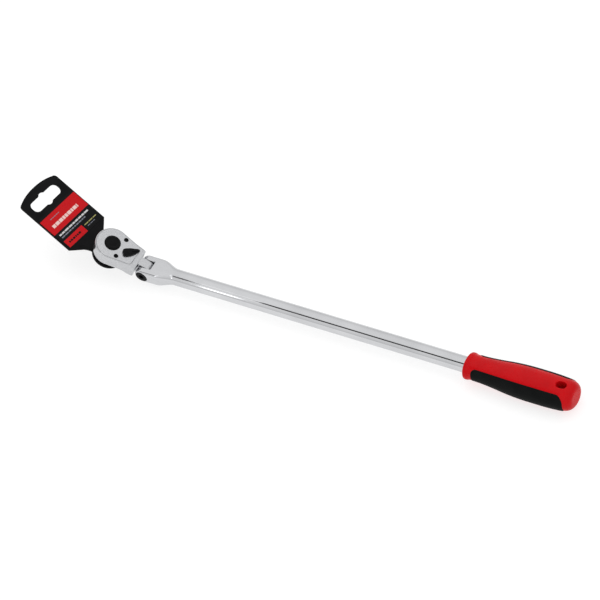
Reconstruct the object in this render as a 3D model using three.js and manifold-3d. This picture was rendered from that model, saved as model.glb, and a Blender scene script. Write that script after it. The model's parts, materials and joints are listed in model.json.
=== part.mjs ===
// Long-reach flexible-head ratchet wrench with a 3/8 inch square drive, carrying its plastic hang tag.
// Millimetres and degrees. The part's frame has its origin at the centre of the drive square's end face,
// +X along the handle towards the grip and +Z up, out of the side that holds the button and the lever.
// Two local frames are used: the handle frame has its origin on the flex pivot with +X towards the grip,
// and the head frame has its origin on the drive axis at half the head's height with +X towards the pivot.
import * as THREE from "three";
import { mergeVertices } from "three/addons/utils/BufferGeometryUtils.js";
import Module from "manifold-3d";

const wasm = await Module();
wasm.setup();

// ---------------------------------------------------------------- driving dimensions
const OVERALL_LENGTH = 455.5; // nose of the head to the end of the grip, head straight
const HEAD_RADIUS = 14.5;
const HEAD_HALF_HEIGHT = 8;
const PIVOT_DISTANCE = 34.5; // drive axis to flex pivot
const FLEX_ANGLE = 25; // head bent up from straight, as stored
const TAG_SWING = 12; // hang tag turned from straight ahead
const LEVER_THROW = 41; // direction lever, each side of the middle
const PAWL_ROCK = 4; // pawl, each side of the middle
const DRIVE_SQUARE = 9.53; // 3/8 inch
const DRIVE_END_Z = -20.5; // head frame
const BAR_RADIUS = 7;
const GRIP_LENGTH = 100.2;
const GAP = 0.2; // between parts that touch on the real tool

const HANDLE_END = OVERALL_LENGTH - HEAD_RADIUS - PIVOT_DISTANCE; // handle frame
const GRIP_START = HANDLE_END - GRIP_LENGTH;

// ---------------------------------------------------------------- materials
const material = (color, roughness, metalness) =>
  new THREE.MeshStandardMaterial({ color, roughness, metalness });
const chrome = material(0xd9dadc, 0.12, 1);
const satinChrome = material(0xc8cacd, 0.28, 1);
const steel = material(0x8d9095, 0.35, 1);
const blackOxide = material(0x141416, 0.4, 0.6);
const blackPlastic = material(0x17171a, 0.35, 0);
const redPlastic = material(0xc01218, 0.32, 0);
const blackRubber = material(0x121214, 0.75, 0);
const tagPlastic = material(0x101012, 0.45, 0);
const tagPrint = material(0xc4161c, 0.3, 0);
const rubberSeal = material(0x1a1a1a, 0.8, 0);

// ---------------------------------------------------------------- solids
// A closed geometry as a manifold solid, its shared vertices merged.
function solid(geometry) {
  const bare = new THREE.BufferGeometry();
  bare.setAttribute("position", geometry.getAttribute("position"));
  if (geometry.index) bare.setIndex(geometry.index);
  const merged = mergeVertices(bare, 1e-4);
  return new wasm.Manifold(
    new wasm.Mesh({
      numProp: 3,
      vertProperties: merged.attributes.position.array,
      triVerts: new Uint32Array(merged.index.array),
    }),
  );
}

function geometryOf(manifold) {
  const mesh = manifold.getMesh();
  const geometry = new THREE.BufferGeometry();
  geometry.setAttribute("position", new THREE.BufferAttribute(new Float32Array(mesh.vertProperties), 3));
  geometry.setIndex(new THREE.BufferAttribute(new Uint32Array(mesh.triVerts), 1));
  return geometry;
}

function join(first, ...others) {
  return others.reduce((whole, other) => whole.add(other), first);
}

function cut(first, ...others) {
  return others.reduce((whole, other) => whole.subtract(other), first);
}

// Cylinder or cone along Z from z0 to z1, about (x, y).
function rod(radius, z0, z1, x = 0, y = 0, segments = 32, topRadius = radius) {
  const geometry = new THREE.CylinderGeometry(topRadius, radius, z1 - z0, segments);
  geometry.rotateX(Math.PI / 2);
  geometry.translate(x, y, (z0 + z1) / 2);
  return solid(geometry);
}

// Cylinder along X from x0 to x1, about (y, z).
function rodX(radius, x0, x1, y = 0, z = 0, segments = 32) {
  const geometry = new THREE.CylinderGeometry(radius, radius, x1 - x0, segments);
  geometry.rotateZ(-Math.PI / 2);
  geometry.translate((x0 + x1) / 2, y, z);
  return solid(geometry);
}

// Cylinder along Y from y0 to y1, about (x, z).
function rodY(radius, y0, y1, x = 0, z = 0, segments = 32) {
  const geometry = new THREE.CylinderGeometry(radius, radius, y1 - y0, segments);
  geometry.translate(x, (y0 + y1) / 2, z);
  return solid(geometry);
}

function block(x0, x1, y0, y1, z0, z1) {
  const geometry = new THREE.BoxGeometry(x1 - x0, y1 - y0, z1 - z0);
  geometry.translate((x0 + x1) / 2, (y0 + y1) / 2, (z0 + z1) / 2);
  return solid(geometry);
}

// A shape in XY made into a plate from z0 to z1, its long edges rounded by edge.
function plate(shape, z0, z1, edge = 0, curveSegments = 12) {
  const geometry = new THREE.ExtrudeGeometry(shape, {
    depth: z1 - z0 - 2 * edge,
    bevelEnabled: edge > 0,
    bevelThickness: edge,
    bevelSize: edge,
    bevelOffset: -edge,
    bevelSegments: 2,
    curveSegments,
  });
  geometry.translate(0, 0, z0 + edge);
  return solid(geometry);
}

// A shape drawn in XZ, made solid from y0 to y1.
function wall(shape, y0, y1, curveSegments = 12) {
  const geometry = new THREE.ExtrudeGeometry(shape, { depth: y1 - y0, bevelEnabled: false, curveSegments });
  geometry.rotateX(Math.PI / 2);
  geometry.translate(0, y1, 0);
  return solid(geometry);
}

function polygon(points) {
  return new THREE.Shape(points.map(([x, y]) => new THREE.Vector2(x, y)));
}

// A rectangle with rounded corners, from (x0, y0) to (x1, y1).
function roundedRectangle(x0, x1, y0, y1, radius) {
  const shape = new THREE.Shape();
  shape.absarc(x1 - radius, y0 + radius, radius, -Math.PI / 2, 0, false);
  shape.absarc(x1 - radius, y1 - radius, radius, 0, Math.PI / 2, false);
  shape.absarc(x0 + radius, y1 - radius, radius, Math.PI / 2, Math.PI, false);
  shape.absarc(x0 + radius, y0 + radius, radius, Math.PI, Math.PI * 1.5, false);
  shape.closePath();
  return shape;
}

// A solid turned about Z from a profile of [radius, z] points that starts and ends on the axis.
function turned(profile, segments = 32) {
  const geometry = new THREE.LatheGeometry(profile.map(([r, z]) => new THREE.Vector2(r, z)), segments);
  geometry.rotateX(Math.PI / 2);
  const made = solid(geometry);
  return made.volume() > 0 ? made : solid(reversed(geometry));
}

function reversed(geometry) {
  const index = geometry.index.array;
  for (let i = 0; i < index.length; i += 3) [index[i + 1], index[i + 2]] = [index[i + 2], index[i + 1]];
  return geometry;
}

// A solid through closed rings that all hold the same number of points, its ends closed flat.
function loft(rings) {
  const count = rings[0].length;
  const points = rings.flat(2);
  const faces = [];
  for (let r = 0; r + 1 < rings.length; r++)
    for (let i = 0; i < count; i++) {
      const a = r * count + i;
      const b = r * count + ((i + 1) % count);
      faces.push(a, b, b + count, a, b + count, a + count);
    }
  const last = (rings.length - 1) * count;
  for (let i = 1; i + 1 < count; i++) faces.push(0, i + 1, i, last, last + i, last + i + 1);
  const geometry = new THREE.BufferGeometry();
  geometry.setAttribute("position", new THREE.Float32BufferAttribute(points, 3));
  geometry.setIndex(faces);
  const made = solid(geometry);
  return made.volume() > 0 ? made : solid(reversed(geometry));
}

// A closed-wire coil spring along Z.
function coilSpring(meanRadius, wireRadius, z0, z1, turns) {
  class Helix extends THREE.Curve {
    getPoint(t, target = new THREE.Vector3()) {
      const angle = 2 * Math.PI * turns * t;
      const rise = z0 + wireRadius + (z1 - z0 - 2 * wireRadius) * t;
      return target.set(meanRadius * Math.cos(angle), meanRadius * Math.sin(angle), rise);
    }
  }
  const section = new THREE.Shape();
  section.absarc(0, 0, wireRadius, 0, 2 * Math.PI, false);
  const stepsPerTurn = 8;
  const geometry = new THREE.ExtrudeGeometry(section, {
    extrudePath: new Helix(),
    steps: Math.round(turns * stepsPerTurn),
    curveSegments: 3,
    bevelEnabled: false,
  });
  return solid(geometry);
}

const smoothstep = (t) => t * t * (3 - 2 * t);
const mix = (a, b, t) => a + (b - a) * t;

function node(name, made, look) {
  const mesh = new THREE.Mesh(made instanceof THREE.BufferGeometry ? made : geometryOf(made), look);
  mesh.name = name;
  return mesh;
}

// ---------------------------------------------------------------- handle: fork, bar and tail
const FORK = {
  halfWidth: 10,
  halfThickness: 6.5,
  corner: 2.5,
  bodyEnd: 13, // where the fork starts to narrow
  barStart: 29,
  slotHalf: 4.3,
  slotDepth: 7.2,
};
const PIVOT = { headRadius: 5.1, headDepth: 3, shankRadius: 3, holeRadius: 3.25, socketAcross: 4 };
const TAIL = { start: 311, radius: 5.6, halfFlat: 4.8, end: 382 };
const DETENT = { boreRadius: 2.1, boreEnd: 20, ballRadius: 1.8, ballX: 8.3 };

// One cross-section of the forging at x: a rectangle with round corners that becomes the round bar.
function forgingRing(x, halfWidth, halfThickness, corner) {
  const perCorner = 6;
  const ring = [];
  for (let quarter = 0; quarter < 4; quarter++)
    for (let i = 0; i < perCorner; i++) {
      const angle = (quarter + i / (perCorner - 1)) * (Math.PI / 2) * 0.9999;
      const sideY = quarter === 0 || quarter === 3 ? 1 : -1;
      const sideZ = quarter < 2 ? 1 : -1;
      const y = sideY * (halfWidth - corner) + corner * Math.cos(angle);
      const z = sideZ * (halfThickness - corner) + corner * Math.sin(angle);
      ring.push([x, y, z]);
    }
  return ring;
}

function forging() {
  const rings = [];
  const add = (x, t) =>
    rings.push(
      forgingRing(
        x,
        mix(FORK.halfWidth, BAR_RADIUS, t),
        mix(FORK.halfThickness, BAR_RADIUS, t),
        mix(FORK.corner, BAR_RADIUS - 0.01, t),
      ),
    );
  add(-FORK.halfThickness - 0.5, 0);
  const steps = 8;
  for (let i = 0; i <= steps; i++) {
    const t = i / steps;
    add(mix(FORK.bodyEnd, FORK.barStart, t), smoothstep(t));
  }
  add(TAIL.start, 1);
  return loft(rings);
}

function handleShaft() {
  const earEnds = join(
    rodY(FORK.halfThickness, -20, 20, 0, 0, 40),
    block(0, TAIL.start + 1, -20, 20, -20, 20),
  );
  const tail = cut(
    rodX(TAIL.radius, TAIL.start - 1, TAIL.end),
    block(TAIL.start, TAIL.end + 1, -10, 10, TAIL.halfFlat, 10),
    block(TAIL.start, TAIL.end + 1, -10, 10, -10, -TAIL.halfFlat),
  );
  return cut(
    join(forging().intersect(earEnds), tail),
    block(-10, FORK.slotDepth, -FORK.slotHalf, FORK.slotHalf, -10, 10),
    rodY(PIVOT.holeRadius, -12, 12),
    rodY(PIVOT.headRadius + GAP, -12, -FORK.halfWidth + PIVOT.headDepth + GAP),
    rodX(DETENT.boreRadius, FORK.slotDepth - 1, DETENT.boreEnd, 0, 0, 20),
  );
}

function hexagon(acrossFlats) {
  const corner = acrossFlats / Math.sqrt(3);
  const points = [0, 1, 2, 3, 4, 5].map((i) => [
    corner * Math.cos((i * Math.PI) / 3),
    corner * Math.sin((i * Math.PI) / 3),
  ]);
  return polygon(points);
}

// Socket-head pivot screw, drawn along Z with its head at the low end.
function pivotScrew() {
  const low = -FORK.halfWidth;
  const made = turned([
    [0, low],
    [PIVOT.headRadius - 0.5, low],
    [PIVOT.headRadius, low + 0.5],
    [PIVOT.headRadius, low + PIVOT.headDepth],
    [PIVOT.shankRadius, low + PIVOT.headDepth],
    [PIVOT.shankRadius, FORK.halfWidth - 1],
    [PIVOT.shankRadius - 0.6, FORK.halfWidth - 0.4],
    [0, FORK.halfWidth - 0.4],
  ]);
  const socket = plate(hexagon(PIVOT.socketAcross), low - 1, low + 2);
  const slot = block(-2.2, 2.2, -0.4, 0.4, FORK.halfWidth - 1.1, FORK.halfWidth + 1);
  const geometry = geometryOf(cut(made, socket, slot));
  geometry.rotateX(-Math.PI / 2);
  return geometry;
}

function flexDetentSpring() {
  const low = DETENT.ballX + DETENT.ballRadius + 0.1;
  const geometry = geometryOf(coilSpring(1.45, 0.3, low, DETENT.boreEnd - 0.2, 6));
  geometry.rotateY(Math.PI / 2);
  return geometry;
}

function flexDetentBall() {
  const geometry = new THREE.SphereGeometry(DETENT.ballRadius, 14, 8);
  geometry.translate(DETENT.ballX, 0, 0);
  return solid(geometry);
}

// ---------------------------------------------------------------- grip
const GRIP_WIDTH_RATIO = 1.155; // width over thickness
// Half thickness at points along the grip, counted from its front end.
const GRIP_PROFILE = [
  [0, 9.6],
  [0.9, 10.5],
  [3.2, 10.5],
  [4.8, 9.9],
  [15.2, 9.9],
  [27.2, 10.8],
  [41.2, 12.2],
  [55.2, 13],
  [78.2, 12.9],
  [87.2, 12.5],
  [93.2, 11.9],
  [97.2, 10.6],
  [99.4, 8.6],
  [GRIP_LENGTH, 6.2],
];
const PANEL = {
  start: 7.7, // this and the lengths below are counted from the grip's front end
  end: 94.2,
  stations: [12.2, 22.2, 34.2, 48.2, 66.2, 81.2],
  heightShare: 0.72, // height of the panel's edges over the grip's half thickness
  depth: 1.7,
  frontCorner: 4,
  rearCorner: 6.5,
};
const HANG_HOLE = { x: 88.7, halfLength: 4.6, halfWidth: 3.3 };

function gripThickness(along) {
  const after = GRIP_PROFILE.findIndex(([x]) => x >= along);
  if (after <= 0) return GRIP_PROFILE[0][1];
  const [x0, r0] = GRIP_PROFILE[after - 1];
  const [x1, r1] = GRIP_PROFILE[after];
  return mix(r0, r1, (along - x0) / (x1 - x0));
}

// The grip's oval envelope, made smaller all round by inset.
function gripEnvelope(inset = 0, segments = 38) {
  const profile = [[0, 0]];
  for (const [along, radius] of GRIP_PROFILE) profile.push([Math.max(radius - inset, 0.5), along]);
  profile.push([0, GRIP_LENGTH]);
  const geometry = geometryOf(turned(profile, segments));
  geometry.scale(1, GRIP_WIDTH_RATIO, 1);
  geometry.rotateY(Math.PI / 2);
  geometry.translate(GRIP_START, 0, 0);
  return solid(geometry);
}

// Side view of a soft panel, made larger all round by extra.
function panelOutline(extra = 0) {
  const half = (along) => PANEL.heightShare * gripThickness(along) + extra;
  const x0 = GRIP_START + PANEL.start - extra;
  const x1 = GRIP_START + PANEL.end + extra;
  const frontHalf = half(PANEL.start + PANEL.frontCorner);
  const rearHalf = half(PANEL.end - PANEL.rearCorner);
  const shape = new THREE.Shape();
  shape.moveTo(x0, -frontHalf + PANEL.frontCorner);
  shape.quadraticCurveTo(x0, -frontHalf, x0 + PANEL.frontCorner, -frontHalf);
  for (const along of PANEL.stations) shape.lineTo(GRIP_START + along, -half(along));
  shape.lineTo(x1 - PANEL.rearCorner, -rearHalf);
  shape.quadraticCurveTo(x1, -rearHalf, x1, -rearHalf + PANEL.rearCorner);
  shape.lineTo(x1, rearHalf - PANEL.rearCorner);
  shape.quadraticCurveTo(x1, rearHalf, x1 - PANEL.rearCorner, rearHalf);
  for (const along of [...PANEL.stations].reverse()) shape.lineTo(GRIP_START + along, half(along));
  shape.lineTo(x0 + PANEL.frontCorner, frontHalf);
  shape.quadraticCurveTo(x0, frontHalf, x0, frontHalf - PANEL.frontCorner);
  shape.closePath();
  return shape;
}

// Everything on one side of the grip that lies within a panel's outline and outside the recess floor.
function panelRegion(side, extra, depth) {
  const outline = side > 0 ? wall(panelOutline(extra), 3, 30, 4) : wall(panelOutline(extra), -30, -3, 4);
  return cut(outline, gripEnvelope(depth));
}

function gripCore() {
  const bore = join(
    rodX(BAR_RADIUS + GAP, GRIP_START - 1, TAIL.start + 0.3),
    cut(
      rodX(TAIL.radius + GAP, TAIL.start, TAIL.end + 0.4),
      block(TAIL.start, TAIL.end + 1, -10, 10, TAIL.halfFlat + GAP, 10),
      block(TAIL.start, TAIL.end + 1, -10, 10, -10, -TAIL.halfFlat - GAP),
    ),
  );
  const hole = plate(
    roundedRectangle(
      GRIP_START + HANG_HOLE.x - HANG_HOLE.halfLength,
      GRIP_START + HANG_HOLE.x + HANG_HOLE.halfLength,
      -HANG_HOLE.halfWidth,
      HANG_HOLE.halfWidth,
      HANG_HOLE.halfWidth - 0.05,
    ),
    -20,
    20,
    0,
    6,
  );
  return cut(gripEnvelope(), panelRegion(1, 0, PANEL.depth), panelRegion(-1, 0, PANEL.depth), bore, hole);
}

function gripPanel(side) {
  return gripEnvelope().intersect(panelRegion(side, -GAP, PANEL.depth - GAP));
}

// ---------------------------------------------------------------- head
const HEAD = {
  topEdge: 0.8,
  bottomEdge: 3, // round between the sides and the underside
  rimTop: 7.4, // the cover plate stands above the rim
  shoulderX: 27,
  shoulderHalfWidth: 10.2,
  shoulderHalfHeight: 6.5,
  flankX: 19.5,
  flankHalfWidth: 10.7,
  taperTopX: 22.8,
  taperBottomX: 14,
  tongueHalfWidth: 3.95,
  tongueRadius: 6.2,
};
const COVER = { thickness: 2.4, inset: 0.95, endX: 22.4, endHalfWidth: 10.6, corner: 3.2, edge: 0.8 };
const SCREW = { x: 8.2, y: 9, headRadius: 1.95, shankRadius: 0.8, socketAcross: 1.5, tipZ: 1 };
const GEAR = { teeth: 72, radius: 9.4, depth: 0.5, low: -4.5, high: 4.2, cavityRadius: 9.75 };
const FLOOR_Z = -4.8; // floor of the gear cavity
const BLIND_HOLE_Z = -6.6; // bottom of the holes for the lever's stub and the pawl's pin
const ANVIL = {
  journalRadius: 8,
  journalLow: -8.9,
  collarRadius: 8.2,
  top: 5.6,
  wellFloor: 1.6,
  springWellRadius: 4.6,
  springWellFloor: -4,
  rodBoreLow: -19,
  chamfer: 0.8, // long edges of the square
  endChamfer: 0.7,
};
const BUTTON = { radius: 6.5, low: 5.2, top: 9.6, travel: 3 };
const RELEASE = { rodRadius: 2, waistRadius: 1.1, ballRadius: 1.6, ballX: 3.76, ballZ: -14.5 };
const LEVER = { x: 16, shaftRadius: 2.4, stubRadius: 1.5, low: 8.25, top: 10.3 };
const SEAL = { radius: 2.85, wireRadius: 0.33, z: 7 };
const PAWL = { pinX: 11.2, pinRadius: 0.7, frontRadius: 9.52, halfAngle: 35 };

// Outline of the head in plan: a circle whose tangents run back to the shoulders, inset all round.
function headOutline(inset = 0, endX = HEAD.shoulderX) {
  const radius = HEAD_RADIUS - inset;
  const slope = (HEAD_RADIUS - HEAD.flankHalfWidth) / HEAD.flankX;
  const leave = Math.PI / 2 - Math.atan(slope) * 1.06;
  const shape = new THREE.Shape();
  const flankY = HEAD.flankHalfWidth - inset;
  const endY = HEAD.shoulderHalfWidth - inset;
  shape.moveTo(radius * Math.cos(leave), radius * Math.sin(leave));
  shape.absarc(0, 0, radius, leave, 2 * Math.PI - leave, false);
  shape.lineTo(HEAD.flankX - 4, -flankY - 4 * slope);
  shape.quadraticCurveTo(HEAD.flankX, -flankY, endX, -endY);
  shape.lineTo(endX, endY);
  shape.quadraticCurveTo(HEAD.flankX, flankY, HEAD.flankX - 4, flankY + 4 * slope);
  shape.closePath();
  return shape;
}

// The head without its tongue, taper and cavities. Its sides round into the underside.
function headBlank() {
  const steps = 4;
  const rings = [];
  const add = (inset, z) =>
    rings.push(
      headOutline(inset)
        .getPoints(9)
        .slice(0, -1)
        .map(({ x, y }) => [x, y, z]),
    );
  for (let i = 0; i <= steps; i++) {
    const angle = ((Math.PI / 2) * i) / steps;
    const { bottomEdge } = HEAD;
    add(bottomEdge * (1 - Math.sin(angle)), bottomEdge * (1 - Math.cos(angle)) - HEAD_HALF_HEIGHT);
  }
  add(0, HEAD.rimTop - HEAD.topEdge);
  add(HEAD.topEdge * 0.3, HEAD.rimTop - HEAD.topEdge * 0.3);
  add(HEAD.topEdge, HEAD.rimTop);
  return loft(rings);
}

// The cover plate's outline as a slab from z0 to z1, larger all round by extra.
function coverSlab(z0, z1, extra = 0, edge = 0) {
  const halfWidth = COVER.endHalfWidth + extra;
  const backCorners = roundedRectangle(-20, COVER.endX + extra, -halfWidth, halfWidth, COVER.corner);
  const front = block(-20, HEAD.flankX - 4, -20, 20, z0, z1);
  return plate(headOutline(COVER.inset - extra), z0, z1, edge, 10).intersect(
    join(plate(backCorners, z0, z1, edge, 5), front),
  );
}

function pawlPocket() {
  const shape = new THREE.Shape();
  shape.moveTo(5, -6.9);
  shape.lineTo(11.5, -6.9);
  shape.quadraticCurveTo(13.2, -6.2, 14.4, -3.6);
  shape.absarc(LEVER.x, 0, 3.9, -1.98, 1.98, false);
  shape.quadraticCurveTo(13.2, 6.2, 11.5, 6.9);
  shape.lineTo(5, 6.9);
  shape.closePath();
  return plate(shape, FLOOR_Z, HEAD_HALF_HEIGHT, 0, 6);
}

function headBody() {
  const half = HEAD_HALF_HEIGHT;
  const sideView = polygon([
    [-30, -half - 1],
    [HEAD.taperBottomX, -half - 1],
    [HEAD.taperBottomX, -half],
    [HEAD.shoulderX + 1, -HEAD.shoulderHalfHeight + 0.15],
    [HEAD.shoulderX + 1, HEAD.shoulderHalfHeight],
    [HEAD.shoulderX, HEAD.shoulderHalfHeight],
    [HEAD.taperTopX, HEAD.rimTop],
    [HEAD.taperTopX, half + 1],
    [-30, half + 1],
  ]);
  const body = headBlank().intersect(wall(sideView, -20, 20));
  const tongueShape = new THREE.Shape();
  tongueShape.moveTo(HEAD.shoulderX - 3, -HEAD.tongueRadius);
  tongueShape.absarc(PIVOT_DISTANCE, 0, HEAD.tongueRadius, -Math.PI / 2, Math.PI / 2, false);
  tongueShape.lineTo(HEAD.shoulderX - 3, HEAD.tongueRadius);
  tongueShape.closePath();
  const tongue = wall(tongueShape, -HEAD.tongueHalfWidth, HEAD.tongueHalfWidth, 16);
  const top = half + 1;
  const coverSeat = half - COVER.thickness;
  const screwHoles = [-1, 1].map((side) =>
    rod(SCREW.shankRadius + GAP, SCREW.tipZ - 0.5, top, SCREW.x, side * SCREW.y, 12),
  );
  return cut(
    join(body, tongue),
    rodY(PIVOT.holeRadius, -12, 12, PIVOT_DISTANCE),
    coverSlab(coverSeat, top, GAP),
    rod(GEAR.cavityRadius, FLOOR_Z, top, 0, 0, 48),
    rod(ANVIL.journalRadius + GAP, -top, FLOOR_Z + 1, 0, 0, 40),
    pawlPocket(),
    rod(LEVER.stubRadius + 0.3, BLIND_HOLE_Z, FLOOR_Z + 1, LEVER.x, 0, 16),
    rod(PAWL.pinRadius + 0.15, BLIND_HOLE_Z, FLOOR_Z + 1, PAWL.pinX, 0, 12),
    ...screwHoles,
  );
}

function coverPlate() {
  const low = HEAD_HALF_HEIGHT - COVER.thickness + 0.1;
  const top = HEAD_HALF_HEIGHT;
  const sinks = [-1, 1].flatMap((side) => [
    rod(SCREW.shankRadius + GAP, low - 1, top + 1, SCREW.x, side * SCREW.y, 12),
    rod(SCREW.headRadius - 0.7, top - 1.3, top + 0.2, SCREW.x, side * SCREW.y, 24, SCREW.headRadius + 0.3),
  ]);
  return cut(
    coverSlab(low, top, 0, COVER.edge),
    rod(BUTTON.radius + 0.3, low - 1, top + 1, 0, 0, 40),
    rod(SEAL.radius + SEAL.wireRadius + 0.12, low - 1, top + 1, LEVER.x, 0, 24),
    ...sinks,
  );
}

function coverScrew(side) {
  const top = HEAD_HALF_HEIGHT - 0.1;
  const made = turned(
    [
      [0, SCREW.tipZ],
      [SCREW.shankRadius - 0.3, SCREW.tipZ],
      [SCREW.shankRadius, SCREW.tipZ + 0.4],
      [SCREW.shankRadius, top - 0.9],
      [SCREW.headRadius, top - 0.15],
      [SCREW.headRadius - 0.15, top],
      [0, top],
    ],
    20,
  );
  const socket = plate(hexagon(SCREW.socketAcross), top - 1, top + 1);
  return cut(made, socket).translate([SCREW.x, side * SCREW.y, 0]);
}

// ---------------------------------------------------------------- drive
// The ratchet wheel's toothed outline, every face moved outwards by grow.
function gearShape(grow = 0) {
  const points = [];
  const step = (2 * Math.PI) / GEAR.teeth;
  for (let i = 0; i < GEAR.teeth; i++) {
    const tip = GEAR.radius + grow * 1.4;
    const root = GEAR.radius - GEAR.depth + grow * 1.4;
    points.push([tip * Math.cos(i * step), tip * Math.sin(i * step)]);
    points.push([root * Math.cos((i + 0.5) * step), root * Math.sin((i + 0.5) * step)]);
  }
  return polygon(points);
}

function driveSquare() {
  const half = DRIVE_SQUARE / 2;
  const { chamfer, endChamfer } = ANVIL;
  const ring = (reach, z) =>
    [
      [reach, -reach + chamfer], [reach, reach - chamfer],
      [reach - chamfer, reach], [-reach + chamfer, reach],
      [-reach, reach - chamfer], [-reach, -reach + chamfer],
      [-reach + chamfer, -reach], [reach - chamfer, -reach],
    ].map(([x, y]) => [x, y, z]);
  return loft([
    ring(half - endChamfer, DRIVE_END_Z),
    ring(half, DRIVE_END_Z + endChamfer),
    ring(half, ANVIL.journalLow + 1),
  ]);
}

function driveAnvil() {
  const body = join(
    plate(gearShape(), GEAR.low, GEAR.high, 0, 1),
    rod(ANVIL.journalRadius, ANVIL.journalLow, GEAR.low + 0.5, 0, 0, 40),
    rod(ANVIL.collarRadius, GEAR.high - 0.5, ANVIL.top, 0, 0, 40),
    driveSquare(),
  );
  return cut(
    body,
    rod(BUTTON.radius + 0.3, ANVIL.wellFloor, ANVIL.top + 1, 0, 0, 40),
    rod(ANVIL.springWellRadius, ANVIL.springWellFloor, ANVIL.wellFloor + 1, 0, 0, 24),
    rod(RELEASE.rodRadius + 0.3, ANVIL.rodBoreLow, ANVIL.springWellFloor + 1, 0, 0, 20),
    rodX(RELEASE.ballRadius + 0.15, 0, DRIVE_SQUARE, 0, RELEASE.ballZ, 20),
  );
}

function releaseButton() {
  const { radius, low, top } = BUTTON;
  return turned(
    [
      [0, low + 2],
      [RELEASE.rodRadius + GAP, low + 2],
      [RELEASE.rodRadius + GAP, low],
      [radius - 0.3, low],
      [radius, low + 0.3],
      [radius, top - 0.9],
      [radius - 0.9, top],
      [radius - 1.9, top],
      [radius - 2.5, top - 0.4],
      [2.4, top - 0.4],
      [0, top - 0.15],
    ],
    40,
  );
}

// The plunger holds the ball out with its full radius, and lets it into its waist when pressed.
function releaseRod() {
  const { rodRadius, waistRadius, ballZ } = RELEASE;
  return turned(
    [
      [0, ballZ - 1.2],
      [rodRadius - 0.4, ballZ - 1.2],
      [rodRadius, ballZ - 0.8],
      [rodRadius, ballZ],
      [waistRadius, ballZ + BUTTON.travel],
      [waistRadius, ballZ + BUTTON.travel + 1.9],
      [rodRadius, ballZ + BUTTON.travel + 2.4],
      [rodRadius, BUTTON.low + 1.8],
      [0, BUTTON.low + 1.8],
    ],
    20,
  );
}

function ball(radius, x, z) {
  const geometry = new THREE.SphereGeometry(radius, 14, 8);
  geometry.translate(x, 0, z);
  return solid(geometry);
}

function washer(innerRadius, outerRadius, z0, z1) {
  return cut(rod(outerRadius, z0, z1, 0, 0, 36), rod(innerRadius, z0 - 1, z1 + 1, 0, 0, 36));
}

// ---------------------------------------------------------------- lever and pawl
// Drawn about the lever's own axis with the thumb tab along +X.
function directionLever() {
  const tab = new THREE.Shape();
  tab.moveTo(-5.6, -1.4);
  tab.quadraticCurveTo(-5.4, -3.3, -2.8, -3.4);
  tab.quadraticCurveTo(1.5, -3.4, 4.2, -2.3);
  tab.quadraticCurveTo(9, -1.7, 9, 0);
  tab.quadraticCurveTo(9, 1.7, 4.2, 2.3);
  tab.quadraticCurveTo(1.5, 3.4, -2.8, 3.4);
  tab.quadraticCurveTo(-5.4, 3.3, -5.6, 1.4);
  tab.closePath();
  const ridge = roundedRectangle(2.4, 8.3, -0.8, 0.8, 0.75);
  const shaft = join(
    rod(LEVER.shaftRadius, -4.5, LEVER.low + 0.5, 0, 0, 24),
    rod(LEVER.stubRadius, BLIND_HOLE_Z + 0.3, -4, 0, 0, 16),
  );
  const grip = plate(ridge, LEVER.top - 0.5, LEVER.top + 0.8, 0.4, 3);
  const springBore = rodX(1, -5, 1.2, 0, 0, 16);
  return cut(join(plate(tab, LEVER.low, LEVER.top, 0.6, 4), grip, shaft), springBore);
}

function leverSpring() {
  const geometry = geometryOf(coilSpring(0.62, 0.15, -1.3, 1.1, 4));
  geometry.rotateY(Math.PI / 2);
  return geometry;
}

function leverSeal() {
  const geometry = new THREE.TorusGeometry(SEAL.radius, SEAL.wireRadius, 8, 24);
  geometry.translate(LEVER.x, 0, SEAL.z);
  return solid(geometry);
}

// Drawn in the head frame with the pawl in its middle position.
function pawl() {
  const halfAngle = THREE.MathUtils.degToRad(PAWL.halfAngle);
  const shape = new THREE.Shape();
  const endOuter = [9.5, 6.3];
  shape.moveTo(PAWL.frontRadius * Math.cos(halfAngle), -PAWL.frontRadius * Math.sin(halfAngle));
  shape.lineTo(endOuter[0], -endOuter[1]);
  shape.quadraticCurveTo(12.4, -5.2, 13.1, -2.6);
  shape.absarc(LEVER.x, 0, 3.55, Math.PI + 0.7, Math.PI - 0.7, true);
  shape.lineTo(13.1, 2.6);
  shape.quadraticCurveTo(12.4, 5.2, endOuter[0], endOuter[1]);
  shape.lineTo(PAWL.frontRadius * Math.cos(halfAngle), PAWL.frontRadius * Math.sin(halfAngle));
  shape.absarc(0, 0, PAWL.frontRadius, halfAngle, -halfAngle, true);
  shape.closePath();
  const blank = plate(shape, GEAR.low, GEAR.high - 0.2, 0, 10);
  const toothClearance = 0.1;
  const wheel = plate(gearShape(toothClearance), GEAR.low - 1, GEAR.high + 1);
  const rocked = (angle) =>
    wheel.translate([-PAWL.pinX, 0, 0]).rotate([0, 0, angle]).translate([PAWL.pinX, 0, 0]);
  return cut(
    blank,
    rocked(PAWL_ROCK),
    rocked(-PAWL_ROCK),
    rod(PAWL.pinRadius + 0.1, GEAR.low - 1, GEAR.high + 1, PAWL.pinX, 0, 16),
  );
}

// ---------------------------------------------------------------- hang tag
// Drawn about the drive axis with the tag along -X. Distances are counted from the drive axis.
const TAG = {
  halfWidth: 22.5,
  cornersAt: 80,
  crownAt: 84.6,
  chamferAt: 24.8,
  neckAt: 16.6,
  neckHalf: 12.4,
  ringRadius: 14.1,
  holeRadius: 6.5,
  low: -11.1,
  top: -9.3,
};
const EURO_SLOT = { at: 70.8, halfLength: 16, halfHeight: 5.2, bumpHalf: 6.7, bumpRadius: 4.2 };
const LABEL = { from: 25.5, to: 61, halfWidth: 21.6, thickness: 0.2 };

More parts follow.
